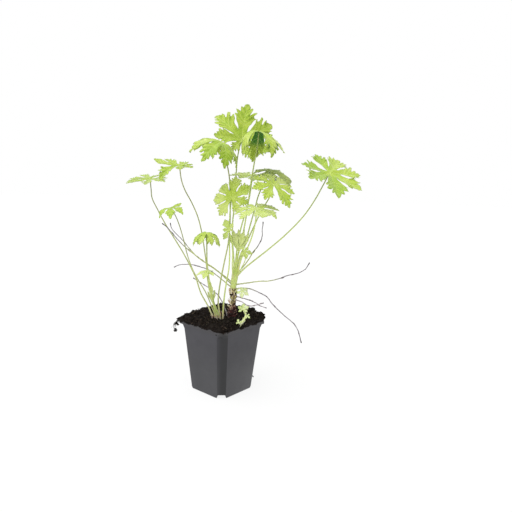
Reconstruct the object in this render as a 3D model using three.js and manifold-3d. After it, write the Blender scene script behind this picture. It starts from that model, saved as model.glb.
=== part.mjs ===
// A hardy geranium in a square nursery pot, millimetres, +Z up.
//
// The origin is the middle of the pot's underside and the pot's sides are square to X and Y.
// The plant is written in its own level axes, [across, back, up], which are turned by
// PLANT_TURN from the pot's, so that "back" runs from the pot's front corner to its rear one.
// A frond is one leaf with its stalk. Each frond and each dry stalk is a piece of its own, and
// its foot stands in a plain socket in the shoot, the rootstock or the soil.

import * as THREE from 'three';
import { mergeVertices } from 'three/addons/utils/BufferGeometryUtils.js';
import Module from 'manifold-3d';

const wasm = await Module();
wasm.setup();

// ---- Driving dimensions ----

const POT = {
  height: 102,
  floorWidth: 69.6,
  floorCorner: 8.4, // leg of the bevel that cuts each upright corner, at the floor
  topWidth: 90.4,
  topCorner: 10.7,
  wall: 1.3,
  floor: 1.6,
  flareFrom: 92, // the bevel narrows from here up, into the squarer corner of the lip
  lipUnder: 98,
  lipWidth: 92.6,
  lipCorner: 6,
};
const DRAIN = {
  nearEnd: 15, // from the middle of the pot to the blind end of a channel, along the diagonal
  height: 5,
  footWidth: 14,
  roofWidth: 10,
  roof: 1.3,
  holeRadius: 3,
  holeAt: 31,
};
const SOIL = {
  overLip: 0.35,
  height: 9.4, // of the heap above the lip, at its ridge
  backRise: 2.5, // how much higher the heap stands at the rear corner than in the middle
  rightRise: 2.9, // and at the right corner
  lumps: 1.3,
  crumbs: 36,
  crumbSize: [2.8, 5.4],
};
// Up the rootstock: [across, back, up, thickness].
const ROOTSTOCK = [[12, 1, 66, 7], [12.5, 0.7, 80, 9], [13, 0.4, 94, 11.5], [13.8, 0, 106, 12.6],
  [14.2, 0, 116, 11], [14.9, 0, 124, 8.6], [15.4, 0, 130, 7], [15.2, 0, 136, 8], [14.7, 0, 142, 10.4],
  [14.6, 0, 150, 10.8]];
const ROOTSTOCK_SIDES = 9;
const SHOOT = { thickFoot: 8.2, thickTop: 9.8, sides: 8 };
const BLADE_THICK = 0.75;
const CLEARANCE = 0.3; // between a foot and its socket, and between the soil and the pot
const PLANT_TURN = THREE.MathUtils.degToRad(41);
const STALK_STEP = 20; // length of one straight facet of a stalk
const STALK_SIDES = 5;
const MESH_FINENESS = 0.02;

// Colour, roughness.
const FINISH = {
  plastic: ['#55565a', 0.5],
  soil: ['#2a211b', 0.95],
  wood: ['#6b3a2a', 0.85],
  shoot: ['#b4c878', 0.6],
  fresh: ['#97bb3c', 0.55],
  pale: ['#b3cd6c', 0.6],
  shade: ['#7d9c3b', 0.55],
  dry: ['#8c8473', 0.8],
};

// ---- Small tools ----

/** A repeatable random number from 0 to 1. */
function randomFrom(seed) {
  let state = seed;
  return () => {
    state = (state + 0x6d2b79f5) | 0;
    let t = Math.imul(state ^ (state >>> 15), 1 | state);
    t = (t + Math.imul(t ^ (t >>> 7), 61 | t)) ^ t;
    return ((t ^ (t >>> 14)) >>> 0) / 4294967296;
  };
}

/** A point or a direction of the plant, [across, back, up], in the pot's axes. */
function plant([across, back, up]) {
  return new THREE.Vector3(across, back, up).applyAxisAngle(new THREE.Vector3(0, 0, 1), PLANT_TURN);
}

function toSolid(geometry) {
  geometry.deleteAttribute('normal');
  geometry.deleteAttribute('uv');
  const merged = mergeVertices(geometry, 1e-4);
  return new wasm.Manifold(new wasm.Mesh({
    numProp: 3,
    vertProperties: new Float32Array(merged.attributes.position.array),
    triVerts: new Uint32Array(merged.index.array),
  }));
}

function indexed(points, triangles) {
  const geometry = new THREE.BufferGeometry();
  const numbers = points.flatMap((p) => [p.x, p.y, p.z]);
  geometry.setAttribute('position', new THREE.Float32BufferAttribute(numbers, 3));
  geometry.setIndex(triangles.flat());
  return geometry;
}

/** The mesh of a solid, without the slivers shorter than MESH_FINENESS that cuts leave. */
function toGeometry(solid) {
  const mesh = solid.simplify(MESH_FINENESS).getMesh();
  const geometry = new THREE.BufferGeometry();
  geometry.setAttribute('position', new THREE.BufferAttribute(new Float32Array(mesh.vertProperties), 3));
  geometry.setIndex(new THREE.BufferAttribute(new Uint32Array(mesh.triVerts), 1));
  geometry.computeVertexNormals();
  return geometry;
}

/** Joins solids, and keeps only the largest body of what comes out. */
function join(solids) {
  return largest(solids.reduce((sum, solid) => sum.add(solid)));
}

function largest(solid) {
  return solid.decompose().reduce((best, body) => (body.volume() > best.volume() ? body : best));
}

/** A closed solid through rings of points, all of one count, wound anticlockwise from above. */
function loft(rings) {
  const count = rings[0].length;
  const points = rings.flat();
  const triangles = [];
  for (let ring = 0; ring < rings.length - 1; ring += 1) {
    for (let i = 0; i < count; i += 1) {
      const a = ring * count + i;
      const b = ring * count + ((i + 1) % count);
      triangles.push([a, b, b + count], [a, b + count, a + count]);
    }
  }
  [[rings[0], 0], [rings.at(-1), points.length - count]].forEach(([ring, first], top) => {
    const middle = ring.reduce((sum, p) => sum.add(p), new THREE.Vector3()).divideScalar(count);
    points.push(middle);
    for (let i = 0; i < count; i += 1) {
      const edge = [first + i, first + ((i + 1) % count)];
      triangles.push([points.length - 1, ...(top ? edge : edge.reverse())]);
    }
  });
  return toSolid(indexed(points, triangles));
}

/** A tapering stalk along points, a closed solid; grow makes it thicker and longer all round. */
function stalk(points, thickFoot, thickTip, grow = 0, sides = STALK_SIDES) {
  const curve = new THREE.CatmullRomCurve3(points, false, 'centripetal');
  const steps = Math.max(3, Math.round(curve.getLength() / STALK_STEP));
  const frames = curve.computeFrenetFrames(steps, false);
  const rings = [];
  for (let step = 0; step <= steps; step += 1) {
    const share = step / steps;
    const radius = THREE.MathUtils.lerp(thickFoot, thickTip, share) / 2 + grow / Math.cos(Math.PI / sides);
    const end = step === 0 ? -1 : Number(step === steps);
    const middle = curve.getPointAt(share).addScaledVector(frames.tangents[step], end * grow);
    rings.push(Array.from({ length: sides }, (_, i) => {
      const turn = (2 * Math.PI * i) / sides;
      return middle.clone()
        .addScaledVector(frames.normals[step], radius * Math.cos(turn))
        .addScaledVector(frames.binormals[step], radius * Math.sin(turn));
    }));
  }
  return loft(rings);
}

// ---- Pot ----

/** One level ring of the pot: a square of the given width with bevelled corners. */
function potRing(width, corner, z) {
  const far = width / 2;
  const near = far - corner;
  return [[far, -near], [far, near], [near, far], [-near, far], [-far, near], [-far, -near], [-near, -far],
    [near, -far]].map(([x, y]) => new THREE.Vector3(x, y, z));
}

/** The pot's body, shrunk by inset on all its upright faces, between two heights. */
function potBody(inset, from, to) {
  const legShrink = (2 - Math.SQRT2) * inset;
  const widthAt = (z) => THREE.MathUtils.mapLinear(z, 0, POT.height, POT.floorWidth, POT.topWidth);
  const cornerAt = (z) => (z <= POT.flareFrom
    ? THREE.MathUtils.mapLinear(z, 0, POT.flareFrom, POT.floorCorner, POT.topCorner)
    : THREE.MathUtils.mapLinear(z, POT.flareFrom, POT.height, POT.topCorner, POT.lipCorner));
  const heights = [from, POT.flareFrom, POT.height, to]
    .filter((z, i, all) => z >= from && z <= to && all.indexOf(z) === i);
  return loft(heights.map((z) => {
    const corner = cornerAt(Math.min(z, POT.height)) - legShrink;
    return potRing(widthAt(z) - 2 * inset, corner, z);
  }));
}

/** A bar of trapezoid section along each diagonal of the floor, grown by an amount all round. */
function floorBars(grow, from, to) {
  const foot = DRAIN.footWidth / 2 + grow;
  const roof = DRAIN.roofWidth / 2 + grow;
  const section = new THREE.Shape([[-foot, -1], [foot, -1], [foot, 0], [roof, DRAIN.height + grow],
    [-roof, DRAIN.height + grow], [-foot, 0]].map(([x, y]) => new THREE.Vector2(x, y)));
  return [45, 135, 225, 315].map((angle) => {
    const bar = new THREE.ExtrudeGeometry(section, { depth: to - from, bevelEnabled: false });
    bar.translate(0, 0, from);
    bar.rotateX(Math.PI / 2);
    bar.rotateZ(THREE.MathUtils.degToRad(angle + 90));
    return toSolid(bar);
  }).reduce((sum, bar) => sum.add(bar));
}

function pot() {
  const outside = potBody(0, 0, POT.height);
  const lip = loft([POT.lipUnder, POT.height].map((z) => potRing(POT.lipWidth, POT.lipCorner, z)));
  const shell = outside.add(lip).subtract(potBody(POT.wall, POT.floor, POT.height + 1));
  const ridges = floorBars(DRAIN.roof, DRAIN.nearEnd - DRAIN.roof, POT.topWidth).intersect(outside);
  const hole = new THREE.CylinderGeometry(DRAIN.holeRadius, DRAIN.holeRadius, 3 * DRAIN.roof, 12);
  hole.rotateX(Math.PI / 2).translate(0, 0, DRAIN.height + DRAIN.roof / 2);
  const drill = toSolid(hole);
  const holes = [45, 135, 225, 315].map((angle) => {
    const turn = THREE.MathUtils.degToRad(angle);
    return drill.translate([DRAIN.holeAt * Math.cos(turn), DRAIN.holeAt * Math.sin(turn), 0]);
  });
  const channels = floorBars(0, DRAIN.nearEnd, POT.topWidth);
  return largest(holes.reduce((sum, one) => sum.subtract(one), shell.add(ridges).subtract(channels)));
}

// ---- Soil ----

/** Rough up-and-down of the soil, from -1 to 1, smooth over a few millimetres. */
function lumpiness(x, y) {
  return 0.45 * Math.sin(0.19 * x + 1.1) * Math.cos(0.23 * y - 0.4) + 0.35 * Math.sin(0.41 * x - 0.37 * y)
    + 0.3 * Math.sin(0.71 * y + 0.33 * x + 2.0);
}

/** How far the heaped soil reaches from the middle of the pot, in a given direction. */
function soilReach(angle) {
  const flat = POT.lipWidth / 2 / Math.max(Math.abs(Math.cos(angle)), Math.abs(Math.sin(angle)));
  const bevel = (POT.lipWidth - POT.lipCorner) / (Math.abs(Math.cos(angle)) + Math.abs(Math.sin(angle)));
  return Math.min(flat, bevel);
}

/** Height of the heap's upper face, rise being its share of SOIL.height at that place. */
function heapTop(x, y, rise) {
  const corner = POT.lipWidth / Math.SQRT2;
  const back = new THREE.Vector3(x, y, 0).dot(plant([0, 1, 0])) / corner;
  const right = new THREE.Vector3(x, y, 0).dot(plant([1, 0, 0])) / corner;
  const tilt = SOIL.backRise * back + SOIL.rightRise * right;
  const rough = Math.min(1, 2 * rise) * (tilt + SOIL.lumps * lumpiness(x, y));
  return POT.height + SOIL.overLip + rise * SOIL.height + rough;
}

// Share of the reach and share of the height above the lip, from the edge over the ridge to the middle.
const HEAP = [[0.985, 0], [1.015, 0.3], [0.965, 0.66], [0.85, 0.96], [0.66, 0.92], [0.42, 0.66], [0.18, 0.5]];
const HEAP_SIDES = 36;

function heap() {
  return loft(HEAP.map(([share, rise], level) => Array.from({ length: HEAP_SIDES }, (_, i) => {
    const angle = (2 * Math.PI * (i + 0.5 * (level % 2))) / HEAP_SIDES;
    const edge = 0.024 * Math.sin(5 * angle + 0.8) + 0.018 * Math.sin(11 * angle)
      + 0.012 * Math.sin(17 * angle + level);
    const reach = soilReach(angle) * (share + edge);
    const x = reach * Math.cos(angle);
    const y = reach * Math.sin(angle);
    return new THREE.Vector3(x, y, heapTop(x, y, rise));
  })));
}

const GOLDEN_ANGLE = Math.PI * (3 - Math.sqrt(5)); // spreads the crumbs evenly round the heap

/** Crumbs half sunk in the heap, some of them at its edge, by a seeded draw. */
function crumbs() {
  const random = randomFrom(9);
  const bottom = POT.height + SOIL.overLip;
  return Array.from({ length: SOIL.crumbs }, (_, i) => {
    const angle = i * GOLDEN_ANGLE + 0.4 * random();
    const share = i % 2 === 0 ? 0.92 + 0.07 * random() : 0.3 + 0.6 * Math.sqrt(random());
    const size = THREE.MathUtils.lerp(...SOIL.crumbSize, random());
    const crumb = new THREE.IcosahedronGeometry(size, 0);
    crumb.scale(1 + 0.5 * random(), 1, 0.75);
    crumb.rotateX(random() * 3).rotateZ(random() * 6);
    const reach = soilReach(angle) * share;
    const [x, y] = [reach * Math.cos(angle), reach * Math.sin(angle)];
    const rise = share > 0.85 ? 0.5 : 0.35 + 0.75 * share;
    crumb.translate(x, y, Math.max(heapTop(x, y, rise), bottom + 1.2 * size));
    return toSolid(crumb);
  });
}

// Lumps spilled over the lip at the pot's left corner: [across, back, up, size].
const SPILL = [
  [-57.5, -6, 102.4, 5.4], [-55.4, 5.5, 102.5, 5], [-59.8, -0.6, 101.4, 5], [-51, -11, 103, 4.4],
];

// From the heap over the lip and down: place, thickness, and the direction across the strand.
const HANGING = [
  [[-54, -3, 105], 5.5, [0, 1]], [[-61, -4, 104], 5, [0.78, 0.62]], [[-66, -5, 98.5], 4.6, [1, 0.1]],
  [[-68.5, -5.5, 92], 3, [1, 0.1]], [[-67.5, -6, 85], 1.6, [1, 0.1]],
];

/** Fibre and crumbs that hang over the pot's left corner, held by the heap. */
function hangingFibre() {
  const rings = HANGING.map(([spot, size, [across, up]], level) => Array.from({ length: 6 }, (_, i) => {
    const turn = (Math.PI * i) / 3 + 0.4 * level;
    const radius = (size / 2) * (1 + 0.22 * Math.sin(2.7 * i + level));
    return plant(spot).add(plant([across, 0, up]).multiplyScalar(radius * Math.cos(turn)))
      .add(plant([0, 1, 0]).multiplyScalar(radius * Math.sin(turn)));
  }));
  return loft(rings.reverse());
}

/** Soil spilled over the lip at the pot's left corner. */
function spill() {
  return SPILL.map(([across, back, up, size]) => {
    const lump = new THREE.IcosahedronGeometry(size, 0).scale(1.1, 1.1, 0.95).rotateZ(across);
    return toSolid(lump.translate(...plant([across, back, up])));
  });
}

function soil(cutters) {
  const overLip = POT.height + SOIL.overLip;
  const inside = potBody(POT.wall + CLEARANCE, POT.floor + CLEARANCE, overLip + 1);
  const overRidges = floorBars(DRAIN.roof + CLEARANCE, DRAIN.nearEnd - DRAIN.roof - CLEARANCE, POT.topWidth);
  const lip = [POT.lipUnder - CLEARANCE, overLip]
    .map((z) => potRing(POT.lipWidth + 2 * CLEARANCE, POT.lipCorner, z));
  const potSpace = loft(lip).add(potBody(-CLEARANCE, 0, overLip));
  const above = join([heap(), ...crumbs(), ...spill(), hangingFibre()]).subtract(potSpace);
  const whole = join([inside.subtract(overRidges), above]);
  return largest(cutters.reduce((sum, cutter) => sum.subtract(cutter), whole));
}

// ---- Rootstock and shoot ----

// Under the soil: the side branch that the left leaves grow from, and the roots, each to its tip.
const BRANCH = {
  knots: [[13, 0, 96], [4, -6, 94], [-4, -11, 96], [-13, -13, 99]], thickFoot: 11, thickTip: 7, sides: 7,
};
const ROOTS = {
  tips: [[30, 8, 48], [16, -22, 40], [-8, 22, 42], [-16, -14, 30]], lowest: 74, apart: 3, arch: 4,
  thickFoot: 3.2, thickTip: 1.4, sides: 4,
};
const SHOOT_AXIS = [[14.5, 0, 145.5], [15, 0, 153], [17, 0, 168], [19.2, 0, 184]].map(plant);

/** The knobbly woody rootstock with its side branch under the soil and its roots. */
function rootstock(grow) {
  const crown = loft(ROOTSTOCK.map(([across, back, up, thick], level) => {
    const end = level === 0 ? -1 : Number(level === ROOTSTOCK.length - 1);
    return Array.from({ length: ROOTSTOCK_SIDES }, (_, i) => {
      const turn = (2 * Math.PI * i) / ROOTSTOCK_SIDES + 0.25 * level;
      const knobs = 1 + 0.08 * Math.sin(2.3 * i + 1.9 * level) + 0.05 * Math.cos(4.1 * i - level);
      const radius = (thick / 2) * knobs + 1.1 * grow;
      return plant([across, back, up + grow * end])
        .add(new THREE.Vector3(radius * Math.cos(turn), radius * Math.sin(turn), 0));
    });
  }));
  const branch = stalk(BRANCH.knots.map(plant), BRANCH.thickFoot, BRANCH.thickTip, grow, BRANCH.sides);
  return join([crown, branch, ...ROOTS.tips.map((tip, i) => {
    const start = plant([12.5, 0.5, ROOTS.lowest + ROOTS.apart * i]);
    const end = plant(tip);
    const middle = start.clone().lerp(end, 0.5);
    middle.z += ROOTS.arch;
    return stalk([start, middle, end], ROOTS.thickFoot, ROOTS.thickTip, grow, ROOTS.sides);
  })]);
}

function shoot(grow) {
  return stalk(SHOOT_AXIS, SHOOT.thickFoot, SHOOT.thickTop, grow, SHOOT.sides);
}

// ---- Leaves ----

// Direction of each lobe from the leaf's tip lobe, in degrees, and its length as a share of the leaf's size.
const LOBES = {
  7: [[-148, 0.62], [-100, 0.84], [-50, 0.95], [0, 1], [50, 0.95], [100, 0.84], [148, 0.62]],
  5: [[-118, 0.7], [-58, 0.92], [0, 1], [58, 0.92], [118, 0.7]],
  3: [[-75, 0.8], [0, 1], [75, 0.8]],
};
// Half of a lobe's edge, base to tip: [along the lobe, out from its midrib], as shares of its length.
const EDGE = {
  7: [[0.42, 0.158], [0.67, 0.29], [0.735, 0.13], [0.875, 0.168], [0.88, 0.088]],
  5: [[0.42, 0.19], [0.66, 0.325], [0.69, 0.215], [0.8, 0.205], [0.81, 0.125]],
  3: [[0.42, 0.19], [0.66, 0.325], [0.69, 0.215], [0.8, 0.205], [0.81, 0.125]],
};
// Places on the midrib that the edge's teeth are joined to.
const MIDRIB = [0.28, 0.42, 0.6, 0.78];
const SINUS = 0.28; // how far out two lobes part, as a share of their length
const HEEL = 0.06; // how far the blade reaches behind the stalk

/** The flat blade: points as {along, out, lobe} round the stalk's top, and its triangles. */
function flatBlade(leaf) {
  const lobes = LOBES[leaf.lobes].map(([angle, length], i) => ({
    angle: THREE.MathUtils.degToRad(angle * leaf.spread),
    length: length * leaf.size * (leaf.reach?.[i] ?? 1),
  }));
  const points = [new THREE.Vector2(0, 0)];
  const triangles = [];
  const add = (x, y) => points.push(new THREE.Vector2(x, y)) - 1;
  const heel = add(-HEEL * leaf.size, 0);
  const sinuses = lobes.slice(1).map((lobe, i) => {
    const angle = (lobe.angle + lobes[i].angle) / 2;
    const reach = (SINUS * (lobe.length + lobes[i].length)) / 2;
    return add(reach * Math.cos(angle), reach * Math.sin(angle));
  });
  lobes.forEach(({ angle, length }, index) => {
    const onLobe = (along, out) => {
      const flat = new THREE.Vector2(along * length, out * length * leaf.spread * leaf.slim);
      const { x, y } = flat.rotateAround(new THREE.Vector2(), angle);
      return add(x, y);
    };
    const ribs = MIDRIB.map((along) => onLobe(along, 0));
    const tip = onLobe(1, 0);
    [1, -1].forEach((side) => {
      const base = side > 0 ? sinuses[index] ?? heel : sinuses[index - 1] ?? heel;
      const rim = [base, ...EDGE[leaf.lobes].map(([along, out]) => onLobe(along, side * out)), tip];
      const fan = [[0, ribs[0], rim[0]], [ribs[0], rim[1], rim[0]], [ribs[0], ribs[1], rim[1]]];
      for (let tooth = 1; tooth + 2 < rim.length; tooth += 2) {
        const rib = ribs[(tooth + 1) / 2];
        const next = ribs[(tooth + 3) / 2];
        fan.push([rib, rim[tooth + 1], rim[tooth]], [rib, rim[tooth + 2], rim[tooth + 1]]);
        fan.push([rib, next, rim[tooth + 2]]);
      }
      fan.push([ribs.at(-1), tip, rim.at(-2)]);
      triangles.push(...fan.map((t) => (side > 0 ? t : [t[0], t[2], t[1]])));
    });
  });
  return { points, triangles, lobes };
}

/** Degrees of droop in a direction round the stalk, evened out from one lobe to the next. */
function droopAt(angle, lobes, leaf) {
  const [all, tipward, leftward] = leaf.droop;
  const next = lobes.findIndex((lobe) => lobe.angle > angle);
  const own = leaf.lobeDroop ?? lobes.map(() => 0);
  const [low, high] = next === -1 ? [lobes.length - 1, lobes.length - 1] : [Math.max(0, next - 1), next];
  const share = high === low ? 1 : (angle - lobes[low].angle) / (lobes[high].angle - lobes[low].angle);
  return all + tipward * Math.cos(angle) + leftward * Math.sin(angle)
    + THREE.MathUtils.lerp(own[low], own[high], share);
}

/** Bends the flat blade: each ray droops on an arc, and each lobe is folded along its midrib. */
function bendBlade({ points, lobes }, leaf) {
  const up = plant(leaf.faces).normalize();
  const along = plant(leaf.points).projectOnPlane(up).normalize();
  const left = up.clone().cross(along);
  return points.map((flat) => {
    const angle = Math.atan2(flat.y, flat.x);
    const distance = flat.length();
    const bend = THREE.MathUtils.degToRad(droopAt(angle, lobes, leaf)) / leaf.size;
    const curl = Math.abs(bend) < 1e-5 ? 1e-5 : bend;
    const offRib = Math.min(...lobes.map((lobe) => Math.abs(Math.sin((angle - lobe.angle) / 2)) * 2));
    const reach = Math.sin(curl * distance) / curl;
    const rise = leaf.fold * distance * Math.min(offRib, 0.5) - (1 - Math.cos(curl * distance)) / curl;
    return plant(leaf.hub)
      .addScaledVector(along, reach * Math.cos(angle))
      .addScaledVector(left, reach * Math.sin(angle))
      .addScaledVector(up, rise);
  });
}

/** Gives a sheet its thickness, with both faces split into triangles alike. */
function thicken(points, triangles, thickness) {
  const normals = points.map(() => new THREE.Vector3());
  triangles.forEach((t) => {
    const [a, b, c] = t.map((i) => points[i]);
    const normal = b.clone().sub(a).cross(c.clone().sub(a));
    t.forEach((i) => normals[i].add(normal));
  });
  normals.forEach((normal) => normal.normalize());
  const count = points.length;
  const both = [thickness / 2, -thickness / 2]
    .flatMap((offset) => points.map((p, i) => p.clone().addScaledVector(normals[i], offset)));
  const faces = triangles.flatMap(([a, b, c]) => [[a, b, c], [count + a, count + c, count + b]]);
  const edges = new Set(triangles.flatMap(([a, b, c]) => [`${a},${b}`, `${b},${c}`, `${c},${a}`]));
  edges.forEach((edge) => {
    const [a, b] = edge.split(',').map(Number);
    if (!edges.has(`${b},${a}`)) faces.push([b, a, count + a], [b, count + a, count + b]);
  });
  return toSolid(indexed(both, faces));
}

function blade(leaf) {
  const flat = flatBlade(leaf);
  return thicken(bendBlade(flat, leaf), flat.triangles, BLADE_THICK);
}

/** The stalk of a frond, from its foot to the middle of its blade. */
function frondStalk(leaf, grow = 0) {
  const [foot, tip] = leaf.thick;
  return stalk([...leaf.stalk, leaf.hub].map(plant), foot, tip, grow);
}

/** Fills in what most leaves share. */
function leafOf(own) {
  const shared = { lobes: 7, spread: 1, slim: 1, droop: [20, 0, 0], fold: 0.22, thick: [2.3, 1.6] };
  return { ...shared, finish: 'fresh', ...own };
}

// ---- The fronds ----
// stalk: points from the foot up; hub: where the stalk meets the blade; faces: the way the upper
// face looks; points: the way the tip lobe points; size: length of the tip lobe; droop: degrees of
// bend along a lobe, for all, more towards the tip, more towards the left; reach and lobeDroop: length
// and added droop of each lobe, from the right one at the stalk round to the left one; spread: 1 for an
// open leaf, less for a young one; slim: width of the lobes, 1 for most leaves; fold: how deeply the
// blade is creased between lobes; side: leaflets that share the stalk.

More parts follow.
